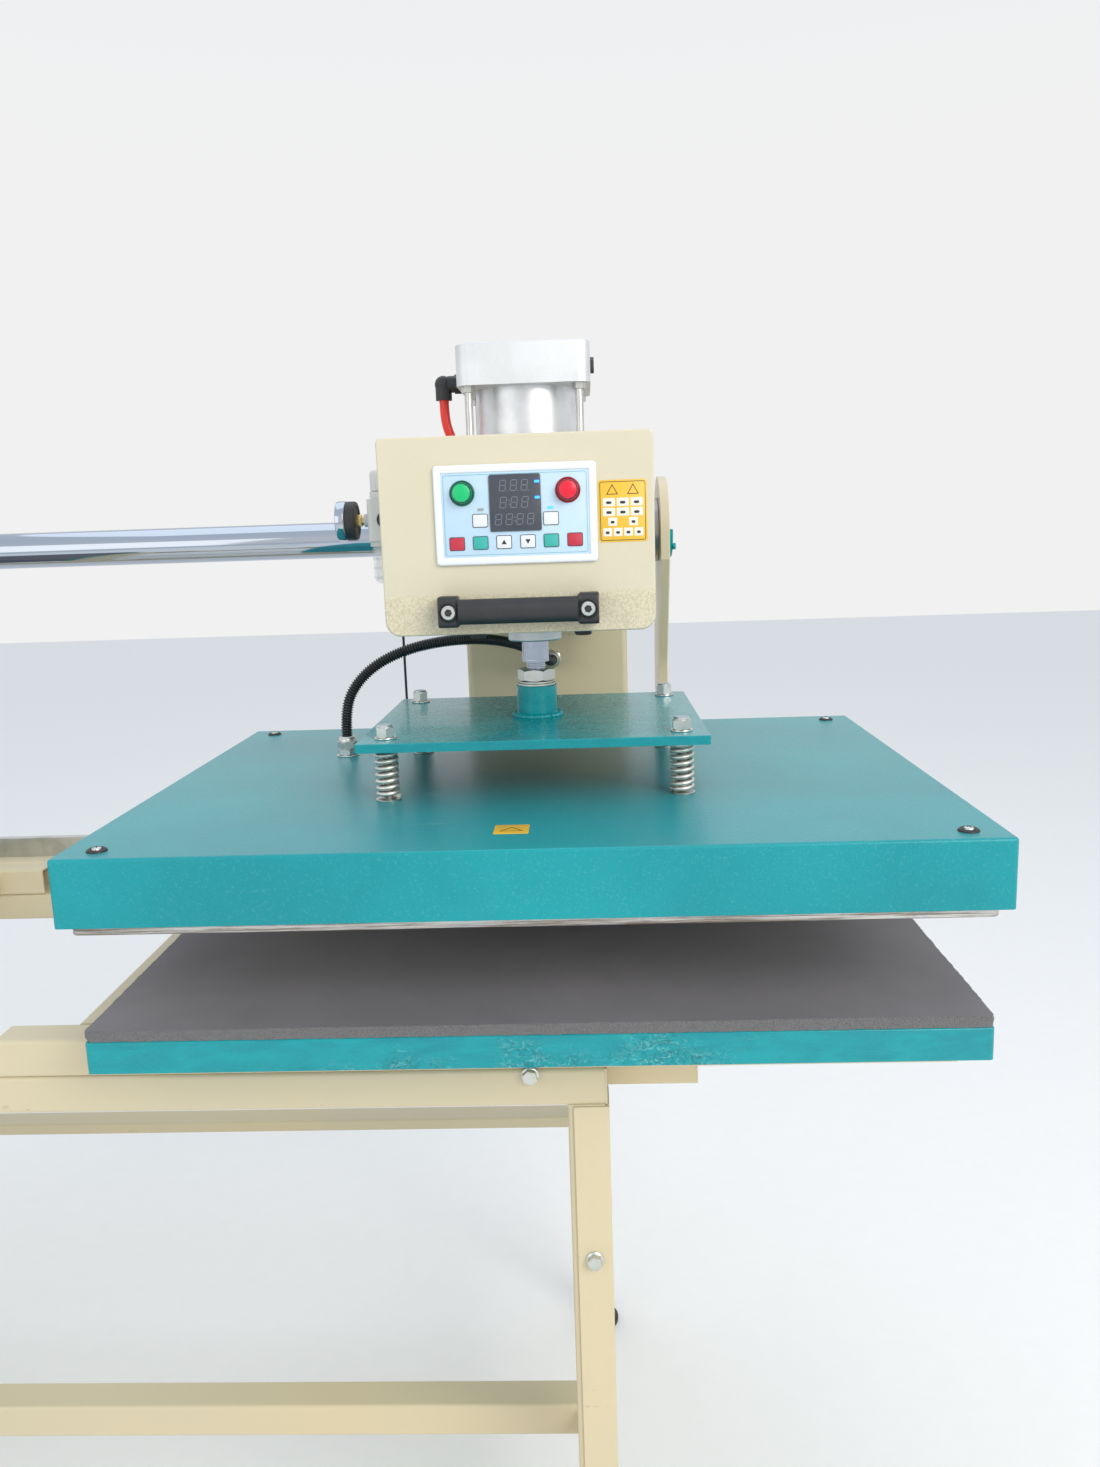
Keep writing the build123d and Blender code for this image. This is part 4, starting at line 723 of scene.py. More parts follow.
# ---- conduit, hose and lead ----------------------------------------------------------
ORIGIN = np.array([RAM[0], RAM[1], COVER_TOP])
CONDUIT_POINTS = np.array([(-240.0, 118.0, 24.0), (-240.0, 118.0, 48.0), (-233.0, 123.0, 78.0),
                           (-208.0, 134.0, 106.0), (-170.0, 150.0, 124.0), (-124.0, 172.0, 132.0),
                           (-78.0, 200.0, 131.0), (-38.0, 231.0, 121.0), (-8.0, 255.0, 104.0),
                           (4.0, 273.0, 93.0), (8.0, 294.0, 88.0), (8.0, 316.0, 88.0)]) * MM + ORIGIN
HOSE_POINTS = np.array([(-87.0, 0.0, 46.0), (-87.0, 0.0, 34.0), (-85.5, 0.5, 20.0), (-81.0, 2.2, 7.0),
                        (-77.5, 4.2, -4.0), (-76.0, 5.0, -14.0)]) * MM + np.array([RAM[0], RAM[1], HEAD_TOP])


def ribbed_conduit():
    """Corrugated conduit: tube radius rises and falls as a squared-off sine along the route."""
    diameter = 0.014
    path, length = spaced(drawn(CONDUIT_POINTS, "conduit_line"), 0.00052)
    travel = np.linspace(0, length, len(path))
    wave = np.tanh(2.2 * np.sin(travel / 0.0032 * TURN))
    radius = diameter / 2 - 0.0009 + 0.0009 * wave
    piece = made("ribbed_conduit", tube(path, radius, 18, (0.55, -0.83, 0.05)), CONDUIT, None, 75)
    # The rib height goes on the points; the finish paints shade in the grooves and a highlight on the ridges from it.
    rib = piece.data.attributes.new("rib", "FLOAT", "POINT")
    rib.data.foreach_set("value", np.repeat((wave + 1) / 2, 18).astype(np.float32))
    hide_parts("conduit")
    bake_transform(piece)


def smooth_hose(name, points, diameter, finish, node):
    """A plain hose or lead: a round tube along the route."""
    path, length = spaced(drawn(points, name + "_line"), 0.0012)
    reference = (0.1, 1.0, 0.05)
    piece = made(name, tube(path, diameter / 2, 18, reference), finish, "carriage", 60)
    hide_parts(node)


ribbed_conduit()
smooth_hose("red_air_hose", HOSE_POINTS, 0.010, HOSE_RED, "air_hose")
lead_low, lead_high = low("sensor_lead"), high("sensor_lead")
lead_line = np.linspace([(lead_low[0] + lead_high[0]) / 2, (lead_low[1] + lead_high[1]) / 2, lead_high[2]],
                        [(lead_low[0] + lead_high[0]) / 2, (lead_low[1] + lead_high[1]) / 2, lead_low[2]], 5)
smooth_hose("black_sensor_lead", lead_line, 0.0035, RUBBER, "sensor_lead")


# ---- springs, nuts and screws ----------------------------------------------------------
STUDS = [(RAM[0] + sx * 0.148, RAM[1] + sy * 0.121) for sx in (-1, 1) for sy in (-1, 1)]


def coil_springs():
    """Four springs: a helix whose pitch closes to one wire at both ends."""
    bottom = COVER_TOP + 0.0022
    top = low("ram_plate")[2] - 0.0002
    wire, turns, steps = 0.0049, 7.6, 44
    t = np.linspace(0, turns, int(turns * steps))
    ends = np.clip(t, 0, 1) + np.clip(t - (turns - 1), 0, 1)
    free = (top - bottom - wire) - 2 * wire * 0.95
    rise = wire / 2 + wire * 0.95 * ends + free * np.clip((t - 1) / (turns - 2), 0, 1)
    mean = (0.0245 - wire) / 2
    shapes = []
    for i, (x, y) in enumerate(STUDS):
        angle = t * TURN + i * 1.3
        path = np.stack([x + mean * np.cos(angle), y + mean * np.sin(angle), bottom + rise], -1)
        shapes.append(tube(path, wire / 2, 12))
    piece = made("coil_springs", join(*shapes), SPRING, "platen", 60)
    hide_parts("press_springs")
    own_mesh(piece)


def socket_screw(radius, height, key, start, axis="Z", turn=0.0, steps=48):
    """Cap screw head: a chamfered round rim, a hexagon well and the well's floor."""
    angle = np.arange(steps) * TURN / steps + turn
    well = hexagon_radius(angle - turn, key)
    one = np.ones(steps)
    rings = [(one * radius, 0.0), (one * radius, height - 0.0005), (one * (radius - 0.0005), height),
             (well * 1.08, height), (well, height - 0.0004), (well, height * 0.25)]
    return shell(np.stack([placed(r * np.cos(angle), r * np.sin(angle), np.full(steps, level), start, axis)
                           for r, level in rings]))


def threaded(radius, x, y, start, end, pitch=0.0015):
    """A threaded stud end: the radius follows a sharp wave along its height."""
    level = np.arange(start, end, pitch / 4)
    depth = pitch * 0.3
    wave = np.abs((level - start) / pitch % 1 - 0.5) * 2
    profile = np.stack([radius - depth * wave, level], -1)
    return turned([(0, level[0]), *profile, (radius - 0.0012, end), (0, end)], (x, y, 0), "Z", 20)


def hanging_nuts():
    """Studs with nylon-ring lock nuts, flat washers on the ram plate and spring seats on the cover."""
    top = high("press_studs")[2] - 0.016
    shapes, rings = [], []
    for i, (x, y) in enumerate(STUDS):
        turn = 0.3 + i * 0.9
        washer = [(0.0052, 0), (0.0108, 0), (0.011, 0.0003), (0.011, 0.0016), (0.0108, 0.0019), (0.0052, 0.0019)]
        collar = [(0.0078, 0.0118), (0.0078, 0.0132), (0.0070, 0.0142), (0.0058, 0.0143), (0.0058, 0.0118)]
        shapes += [turned(washer, (x, y, top)), hexagon(0.017, 0.0100, (x, y, top + 0.0019), "Z", turn),
                   turned(collar, (x, y, top)), threaded(0.005, x, y, COVER_TOP, top + 0.0128),
                   turned([(0, 0), (0.0128, 0), (0.013, 0.0004), (0.013, 0.0017), (0.0125, 0.0021), (0, 0.0021)],
                          (x, y, COVER_TOP))]
        rings.append(turned([(0.0050, 0.0138), (0.0062, 0.0138), (0.0062, 0.0145), (0.0050, 0.0145)], (x, y, top)))
    piece = made("hanging_nuts", join(*shapes), ZINC, "platen")
    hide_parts("press_studs")
    made("nylon_rings", join(*rings), printed("nylon", (0.35, 0.42, 0.50)), "platen")


def rod_joint():
    """Lock nut, washer and the rod's thread above the ram's socket."""
    base = low("rod_nut")[2]
    x, y = RAM[0], RAM[1]
    ring = [(0.0100, 0), (0.0198, 0), (0.0204, 0.0006), (0.0204, 0.0024), (0.0188, 0.0032), (0.0188, 0.0046),
            (0.0100, 0.0050)]
    nut = hexagon(0.036, 0.0130, (x, y, base + 0.005), "Z", 0.42)
    piece = made("rod_lock_nut", join(turned(ring, (x, y, base), "Z", 48), nut), ZINC, "ram")
    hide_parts("rod_nut")
    thread = threaded(0.0102, x, y, base + 0.0175, base + 0.0258, 0.002)
    made("rod_thread", thread, TURNED, "ram")


def corner_screws():
    """Cross-head pan screws in black cup washers, at the cover's corners, with flat black crosses on the heads as
    painted shade of the recesses.
    """
    lo, hi = low("cover_screws"), high("cover_screws")
    inset = 0.009
    shapes, cups_and_cross_shades = [], []
    for x in (lo[0] + inset, hi[0] - inset):
        for y in (lo[1] + inset, hi[1] - inset):
            head = [(0.0046, 0), (0.0046, 0.0016), (0.0042, 0.0028), (0.0032, 0.0036), (0.0018, 0.0040), (0, 0.0040)]
            shapes.append(turned(head, (x, y, COVER_TOP), "Z", 28))
            cups_and_cross_shades.append(turned([(0.0048, 0), (0.0092, 0), (0.0088, 0.0014), (0.0070, 0.0026), (0.0052, 0.0020),
                                (0.0048, 0.0008)], (x, y, COVER_TOP), "Z", 32))
            # Two flat black bars across each head: painted shade for the cross recess.
            for turn in (0.5, 0.5 + TURN / 4):
                cross_shade_slab = slab(0.0052, 0.0010, 0.0002, [(0, 0), (0, 0.0002)], (0, 0, 0))
                c, s = math.cos(turn), math.sin(turn)
                points = cross_shade_slab[0] @ np.array([[c, s, 0], [-s, c, 0], [0, 0, 1]]) + (x, y, COVER_TOP + 0.00395)
                cups_and_cross_shades.append((points, cross_shade_slab[1]))
    piece = made("corner_screws", join(*shapes), ZINC, "platen")
    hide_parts("cover_screws")
    made("cup_washers_and_cross_shades", join(*cups_and_cross_shades), BLACK, "platen")


def frame_bolt_heads():
    """Flanged hexagon bolts with a dished top on the beam and legs, and the end plates' bolts."""
    front = low("table_beams")[1]
    leg_plate = low("leg_face_plates")
    leg_x = high("leg_face_plates")[0] - 0.018
    leg_top = high("legs")[2]
    shapes = []
    for side in (-1, 1):
        for x, y, z, size in ((RAM[0] - 0.009, front, leg_top + 0.033, 0.013),
                              (leg_x, leg_plate[1], 0.577, 0.013), (leg_x, leg_plate[1], 0.180, 0.013)):
            flange = [(0, 0), (size * 0.66, 0), (size * 0.68, 0.0010), (size * 0.60, 0.0022), (size * 0.5, 0.0026)]
            shapes.append(turned(flange + [(0, 0.0026)], (side * x, y, z), "-Y", 32))
            shapes.append(hexagon(size, 0.0065, (side * x, y - 0.002, z), "-Y", 0.2, False))
            dish = [(size * 0.42, 0), (size * 0.34, -0.0002), (size * 0.3, -0.0016), (0, -0.0020)]
            shapes.append(turned(dish, (side * x, y - 0.00855, z), "-Y", 24))
    ends = (("X", high("right_end_plate")[0]), ("-X", low("left_end_plate")[0]))
    for axis, x in ends:
        for y in (0.310, 0.345):
            for z in (leg_top + 0.020, leg_top + 0.056):
                shapes.append(turned([(0, 0), (0.0125, 0), (0.013, 0.0004), (0.013, 0.0020), (0.0124, 0.0024),
                                      (0, 0.0024)], (x, y, z), axis))
                shapes.append(hexagon(0.019, 0.0078, (x, y, z), axis, 0.4, False))
    piece = made("frame_bolt_heads", join(*shapes), ZINC, "frame")
    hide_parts("frame_bolts")


coil_springs()
hanging_nuts()
rod_joint()
corner_screws()
frame_bolt_heads()


# ---- handle --------------------------------------------------------------------------------
def bridge_handle():
    """Bridge handle: a bar whose section is a superellipse that deepens towards both feet, and the screws."""
    lo, hi = low("head_handle"), high("head_handle")
    half = (hi[0] - lo[0]) / 2
    tall = (hi[2] - lo[2]) / 2
    centre = (lo + hi) / 2
    front, back = lo[1], hi[1]
    s = np.concatenate([np.linspace(-1, -0.72, 18), np.linspace(-0.70, 0.70, 25), np.linspace(0.72, 1, 18)])
    end = np.clip((np.abs(s) - 0.735) / 0.03, 0, 1)
    end = end * end * (3 - 2 * end)
    round_end = np.sqrt(np.clip(1 - np.clip((np.abs(s) - 0.975) / 0.025, 0, 1) ** 2, 0.02, 1))
    angle = np.arange(48) * TURN / 48
    power = (2.3 + 5.0 * end)[:, None]
    cosine, sine = np.cos(angle), np.sin(angle)
    shape = (np.abs(cosine) ** power + np.abs(sine) ** power) ** (-1 / power)
    crown = 0.0028 * (1 - end)
    face = front + 0.0060 * end
    rear = front + 0.021 + (back - front - 0.021) * end
    depth = ((rear - face) / 2)[:, None]
    mid = ((rear + face) / 2)[:, None]
    height = (tall - crown)[:, None] * (0.97 + 0.03 * round_end[:, None])
    y = mid + depth * shape * cosine * (0.94 + 0.06 * round_end[:, None])
    z = centre[2] + height * shape * sine
    x = np.repeat((centre[0] + s * half)[:, None], 48, 1)
    bar = shell(np.stack([x, y, z], -1)[:, ::-1])
    pockets, screws, well_shades = [], [], []
    for side in (-1, 1):
        px = centre[0] + side * (half - 0.0105)
        spot = (px, front + 0.0062, centre[2])
        pockets.append(turned([(0.0086, -0.0008), (0.0098, -0.0008), (0.0096, 0.0014), (0.0090, 0.0018),
                               (0.0082, 0.0010), (0.0082, -0.0008)], spot, "-Y", 32))
        screws.append(socket_screw(0.0068, 0.0034, 0.0062, spot, "-Y", 0.3 + side))
        # A black hexagon in each screw's socket: painted shade inside the hexagon recess.
        well_shades.append(hexagon(0.0060, 0.0012, (px, spot[1] - 0.0008, spot[2]), "-Y", 0.3 + side))
    made("handle_screw_wells_painted_shade", join(*well_shades), BLACK, "carriage")
    piece = made("bridge_handle", join(bar, *pockets), BLACK, "carriage", 50)
    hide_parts("head_handle")
    bumpers = []
    foot_hi = high("head_screws")
    for side in (-1, 1):
        bumpers.append(turned([(0, -0.0005), (0.0085, -0.0005), (0.0085, 0.0045), (0.0074, 0.0055), (0, 0.0055)],
                              (RAM[0] + side * 0.053, foot_hi[1] - 0.0385, HEAD_BOTTOM), "-Z"))
    screw_piece = made("handle_cap_screws", join(*screws), ZINC, "carriage")
    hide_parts("head_screws")
    made("rubber_bumpers", join(*bumpers), RUBBER, "carriage")


bridge_handle()


# ---- control panel ---------------------------------------------------------------------------
PANEL = middle("control_panel")
PANEL_X, PANEL_Z = PANEL[0], PANEL[2]
FILM_Y = HEAD_FRONT - 0.0030


def on_panel(x, z):
    """A point on the panel's film, from the ram axis and the cover's top."""
    return (RAM[0] + x * MM, FILM_Y - 0.00002, COVER_TOP + z * MM)


def panel_frame():
    """White frame with a rounded section and the satin film inside it."""
    width, height = 0.157, 0.095
    bezel = slab(width, height, 0.004, [(0, 0), (0, 0.0030), (0.0006, 0.0038), (0.0016, 0.0042), (0.0060, 0.0042),
                                        (0.0070, 0.0037), (0.0074, 0.0028)], (PANEL_X, HEAD_FRONT, PANEL_Z), "-Y", 8)
    bezel = (bezel[0], bezel[1][:-1])
    piece = made("panel_bezel", bezel, WHITE, "carriage")
    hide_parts("control_panel")
    film = plate(width - 0.0142, height - 0.0142, 0.002, 0.0028, (PANEL_X, HEAD_FRONT, PANEL_Z), "-Y", 0.0001)
    made("panel_film", film, FILM, "carriage")


def outline_strip(width, height, corner, line, x, z, lift=0.0001):
    """A thin printed frame: the skin between two rounded rectangles."""
    outer = rounded(width, height, corner, 6)
    inner = rounded(width - 2 * line, height - 2 * line, max(corner - line, 0.0001), 6)
    place = on_panel(x, z)
    rings = [placed(o[:, 0], o[:, 1], np.full(len(o), h), place, "-Y")
             for o, h in ((outer, 0), (outer, lift), (inner, lift), (inner, 0))]
    return shell(np.stack(rings), closed_rows=True)


def seven_segments(x, z, width, height, thick=0.0007):
    """One digit: seven pointed bars, each a stretched hexagon, on a slanted grid."""
    shapes = []
    slant = 0.12
    half_w, half_h = width / 2, height / 2
    bars = [(0, half_h, 0), (0, 0, 0), (0, -half_h, 0), (-half_w, half_h / 2, 1), (half_w, half_h / 2, 1),
            (-half_w, -half_h / 2, 1), (half_w, -half_h / 2, 1)]
    for bx, bz, upright in bars:
        length = (half_h if upright else width) - 0.0005
        t = thick / 2
        a = np.array([-length / 2, -length / 2 + t, length / 2 - t, length / 2, length / 2 - t, -length / 2 + t])
        b = np.array([0, -t, -t, 0, t, t])
        u, v = (b, a) if upright else (a, b)
        if upright:
            u, v = u[::-1], v[::-1]
        u = u + bx + (v + bz) * slant
        v = v + bz
        place = (x, HEAD_FRONT - 0.00435, z)
        rings = np.stack([placed(u, v, np.full(6, h), place, "-Y") for h in (0, 0.00006)])
        shapes.append(shell(rings))
    return shapes


def display():
    """Smoked window with three rows of unlit digits and two small blue lamps."""
    lo, hi = low("display_window"), high("display_window")
    width, height = hi[0] - lo[0], hi[2] - lo[2]
    cx, cz = (lo[0] + hi[0]) / 2, (lo[2] + hi[2]) / 2
    pane = plate(width, height, 0.002, 0.0044, (cx, HEAD_FRONT, cz), "-Y", 0.0005)
    piece = made("smoked_window", pane, WINDOW, "carriage")
    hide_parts("display_window")
    segments = []
    for row_z, digits, dots in ((0.0165, (-0.0105, 0.0, 0.0105), None), (0.0005, (-0.0105, 0.0, 0.0105), -0.0052),
                                (-0.0155, (-0.0155, -0.0052, 0.0052, 0.0155), 0.0)):
        for dx in digits:
            segments += seven_segments(cx - 0.001 + dx, cz + row_z, 0.0058, 0.0100)
            if row_z > 0.001:
                segments.append(turned([(0, 0), (0.0005, 0), (0.0005, 0.00006), (0, 0.00006)],
                                       (cx + 0.0032 + dx, HEAD_FRONT - 0.00435, cz + row_z - 0.0052), "-Y", 10))
        if dots is not None:
            for dz in (-0.0018, 0.0018):
                segments.append(turned([(0, 0), (0.0006, 0), (0.0006, 0.00006), (0, 0.00006)],
                                       (cx - 0.0006 + dots, HEAD_FRONT - 0.00435, cz + row_z + dz), "-Y", 10))
    made("unlit_digits", join(*segments), SEGMENT, "carriage")
    lamps = [plate(0.0046, 0.0024, 0.0003, 0.0002, (cx + 0.0215, HEAD_FRONT - 0.0043, cz + dz), "-Y", 0.00005)
             for dz in (0.0195, 0.0045)]
    lamps.append(plate(0.0052, 0.0022, 0.0003, 0.0003, on_panel(24.7, 284.5), "-Y", 0.00005))
    made("blue_lamps", join(*lamps), BLUE_LAMP, "carriage")
    made("grey_lamp", plate(0.0056, 0.0026, 0.0003, 0.0003, on_panel(-42.6, 284.6), "-Y", 0.00005), GREY_LAMP,
         "carriage")


def membrane_keys():
    """Eight domed membrane keys in thin dark frames; two carry plain arrows."""
    wide, tall = 0.0150, 0.0130
    groups = {"white_keys": (KEY_WHITE, [(-43.5, 274.1), (25.0, 274.2), (-21.1, 253.0), (2.1, 253.0)]),
              "teal_keys": (KEY_TEAL, [(-43.9, 252.8), (24.8, 253.2)]),
              "red_keys": (KEY_RED, [(-66.8, 252.5), (47.8, 253.4)])}
    borders = []
    for name, (finish, places) in groups.items():
        keys = [plate(wide - 0.0012, tall - 0.0012, 0.0012, 0.00045, on_panel(x, z), "-Y", 0.0003) for x, z in places]
        made(name, join(*keys), finish, "carriage")
        borders += [outline_strip(wide, tall, 0.0016, 0.0005, x, z, 0.00025) for x, z in places]
    made("key_borders", join(*borders), INK, "carriage")
    arrows = []
    for x, up in ((-21.1, 1), (2.1, -1)):
        corner = np.array([0, 1, 2]) * TURN / 3 + TURN / 4 * up
        u, v = 0.0030 * np.cos(corner), 0.0030 * np.sin(corner) + 0.0006 * (-up)
        place = np.array(on_panel(x, 253.0)) + (0, -0.00044, 0)
        arrows.append(shell(np.stack([placed(u, v, np.full(3, h), place, "-Y") for h in (0, 0.00008)])))
    made("key_arrows", join(*arrows), INK, "carriage")
    made("film_outline", outline_strip(0.1385, 0.0765, 0.002, 0.00035, -9.0, 279.5, 0.00008), OUTLINE, "carriage")


def round_buttons():
    """Start and stop buttons: a flat-topped cap that sinks into a fixed skirt with a ring on the panel, both in a
    darker copy of the cap colour as painted shade.
    """
    for name, node, cap, skirt, colour_slot in (("start_cap", "start_button", GREEN_CAP, GREEN_SKIRT_SHADED, "green_plastic"),
                                                ("stop_cap", "stop_button", RED_CAP, RED_SKIRT_SHADED, "red_plastic")):
        lo, hi = low(node), high(node)
        x, z, front = (lo[0] + hi[0]) / 2, (lo[2] + hi[2]) / 2, lo[1]
        top = [(0, -0.0040), (0.0086, -0.0040), (0.0086, -0.0012), (0.0082, -0.0004), (0.0074, 0.0), (0, 0.0001)]
        piece = made(name, turned(top, (x, front, z), "-Y", 40), cap, node)
        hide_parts(node)
        side = [(0.0102, -0.0115), (0.0104, -0.0105), (0.0102, -0.0060), (0.0098, -0.0036), (0.0094, -0.0028),
                (0.0091, -0.0028), (0.0089, -0.0034), (0.0089, -0.0115)]
        # Skirt and ring take the darker copy of the cap colour: painted shade round the cap.
        made(name + "_skirt", turned(side, (x, front, z), "-Y", 40), skirt, "carriage")
        ring = [(0.0109, -0.0001), (0.0122, -0.0001), (0.0123, 0.0008), (0.0120, 0.0014), (0.0113, 0.0016),
                (0.0109, 0.0012)]
        made(name + "_ring", turned(ring, (x, HEAD_FRONT - 0.0028, z), "-Y", 40), skirt, "carriage")


def labels():
    """Plain yellow labels with a thin black frame and blank cells."""
    thick = 0.00022
    y = HEAD_FRONT
    cx, cz, width, height = RAM[0] + 0.0945, COVER_TOP + 0.2790, 0.047, 0.0590
    made("head_label", plate(width, height, 0.003, thick, (cx, y, cz), "-Y", 0.00005), YELLOW, "carriage")
    line = 0.0006
    outer, inner = rounded(width - 0.003, height - 0.003, 0.002), rounded(width - 0.003 - 2 * line,
                                                                          height - 0.003 - 2 * line, 0.0014)
    rings = [placed(o[:, 0], o[:, 1], np.full(len(o), h), (cx, y, cz), "-Y")
             for o, h in ((outer, thick), (outer, thick + 0.00006), (inner, thick + 0.00006), (inner, thick))]
    made("head_label_line", shell(np.stack(rings), closed_rows=True), INK, "carriage")
    cells, marks = [], []
    for row_z, count in ((0.0085, 3), (-0.0008, 3), (-0.0101, 2), (-0.0200, 4)):
        wide = 0.0390 / count - 0.0014 if count != 2 else 0.0085
        for column in range(count):
            x = cx + (column - (count - 1) / 2) * (0.0402 / count)
            cells.append(plate(wide, 0.0078, 0.0005, 0.00006, (x, y - thick, cz + row_z), "-Y", 0.00002))
            marks.append(plate(wide * 0.45, 0.0026, 0.0012, 0.00012, (x, y - thick, cz + row_z - 0.0004), "-Y",
                               0.00002))
    corner = np.arange(3) * TURN / 3 + TURN / 4
    for side in (-1, 1):
        spot = (cx + side * 0.0100, y, cz + 0.0190)
        rings = [placed(r * np.cos(corner), r * np.sin(corner), np.full(3, h), spot, "-Y")
                 for r, h in ((0.0066, thick), (0.0066, thick + 0.0001), (0.0052, thick + 0.0001), (0.0052, thick))]
        marks.append(shell(np.stack(rings), closed_rows=True))
    made("head_label_marks", join(*marks), INK, "carriage")
    made("head_label_cells", join(*cells), printed("label_white", (0.80, 0.78, 0.70)), "carriage")
    hot = plate(0.0315, 0.0300, 0.0015, thick, (RAM[0] - 0.0155, RAM[1] - 0.2455, COVER_TOP), "Z", 0.00005)
    made("cover_label", hot, YELLOW, "platen")
    spot = (RAM[0] - 0.0155, RAM[1] - 0.2475, COVER_TOP)
    wide = np.array([1.5, 1.0])
    rings = [placed(r * wide[0] * np.cos(corner), r * np.sin(corner), np.full(3, h), spot, "Z")
             for r, h in ((0.0085, thick), (0.0085, thick + 0.0001), (0.0070, thick + 0.0001), (0.0070, thick))]
    made("cover_label_mark", shell(np.stack(rings), closed_rows=True), INK, "platen")


panel_frame()
display()
membrane_keys()
round_buttons()
labels()


# ---- air set -----------------------------------------------------------------------------------
def gauge():
    """Black case with a dished back, brass stem, chrome ring, and a white dial with ticks."""
    lo, hi = low("gauge_case"), high("gauge_case")
    y, z, front = (lo[1] + hi[1]) / 2, (lo[2] + hi[2]) / 2, lo[0]
    case = [(0, -0.0068), (0.0186, -0.0068), (0.0186, -0.0010), (0.0205, -0.0010), (0.0205, -0.0095), (0.0209, -0.0100),
            (0.0209, -0.0178), (0.0200, -0.0196), (0.0170, -0.0202), (0.0155, -0.0190), (0, -0.0190)]
    piece = made("gauge_body", turned(case[::-1], (front, y, z), "-X", 56), BLACK, "carriage")
    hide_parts("gauge_case")
    stem = join(hexagon(0.012, 0.0064, (front + 0.0188, y, z), "X", 0.3),
                turned([(0, 0.005), (0.005, 0.005), (0.005, 0.0092), (0, 0.0092)], (front + 0.0188, y, z), "X"))
    made("gauge_stem", stem, BRASS, "carriage")
    ring = [(0.0209, -0.0088), (0.0214, -0.0080), (0.0216, -0.0074), (0.0216, 0.0), (0.0210, 0.0010),
            (0.0198, 0.0014), (0.0186, 0.0006), (0.0186, -0.0030), (0.0207, -0.0030), (0.0207, -0.0088)]
    made("gauge_ring", turned(ring, (front + 0.0002, y, z), "-X", 64), CHROME_PAINTED_REFLECTION, "carriage")
    face = front + 0.0066
    made("gauge_dial", turned([(0, 0), (0.0186, 0), (0.0186, 0.0006), (0, 0.0006)], (face, y, z), "-X", 48), DIAL,
         "carriage")
    ticks = []
    for i in range(51):
        angle = math.radians(225 - i * 270 / 50)
        long = i % 5 == 0
        inner, outer, wide = (0.0128 if long else 0.0142), 0.0162, (0.0004 if long else 0.0002)
        direction = np.array([math.cos(angle), math.sin(angle)])
        across = np.array([-direction[1], direction[0]]) * wide / 2
        corners = np.array([direction * inner - across, direction * outer - across, direction * outer + across,
                            direction * inner + across])
        rings = np.stack([placed(corners[:, 1], -corners[:, 0], np.full(4, h), (face, y, z), "-X")
                          for h in (0.0006, 0.00072)])
        ticks.append(shell(rings))
    made("gauge_ticks", join(*ticks), INK, "carriage")


def air_set_details():
    """Ribs round the knob and bowl guard, a plugged port with a red centre, and band clamps."""
    lo, hi = low("regulator_body"), high("regulator_body")
    y = (lo[1] + hi[1]) / 2
    bowl = middle("regulator_bowl")
    x = bowl[0]
    port_z = hi[2] - 0.030
    port = (x + 0.004, low("regulator_body")[1], port_z)
    made("port_ring", turned([(0.0046, 0), (0.0088, 0), (0.0088, 0.0024), (0.0080, 0.0032), (0.0052, 0.0032),
                              (0.0046, 0.0024)], port, "-Y"), BLACK, "carriage")
    made("port_plug", turned([(0, 0), (0.0046, 0), (0.0046, 0.0016), (0.0038, 0.0024), (0, 0.0026)], port, "-Y"),
         RED_CAP, "carriage")
    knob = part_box("pressure_knob")
    height = knob[1][2] - knob[0][2]
    steps = 120
    angle = np.arange(steps) * TURN / steps
    flute = 0.0004 * np.tanh(2 * np.cos(angle * 24))
    rings = []
    for radius, level, share in ((0.0120, 0, 0), (0.0136, 0.0004, 1), (0.0136, height - 0.004, 1),
                                 (0.0128, height - 0.0012, 0.6), (0.0112, height, 0)):
        r = radius + flute * share
        rings.append(placed(r * np.cos(angle), r * np.sin(angle), np.full(steps, level),
                            (middle("pressure_knob")[0], middle("pressure_knob")[1], knob[0][2]), "Z"))
    piece = made("ribbed_knob", shell(np.stack(rings)), GREY, "pressure_knob", 60)
    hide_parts("pressure_knob")
    bands = []
    base = low("regulator_bowl")[2]
    for level in (0.012, 0.022, 0.032):
        bands.append(turned([(0.0150, 0), (0.0156, 0.0003), (0.0156, 0.0012), (0.0150, 0.0015)],
                            (x, y, base + level), "Z", 40))
    made("bowl_bands", join(*bands), CLEAR, "carriage")


gauge()
air_set_details()


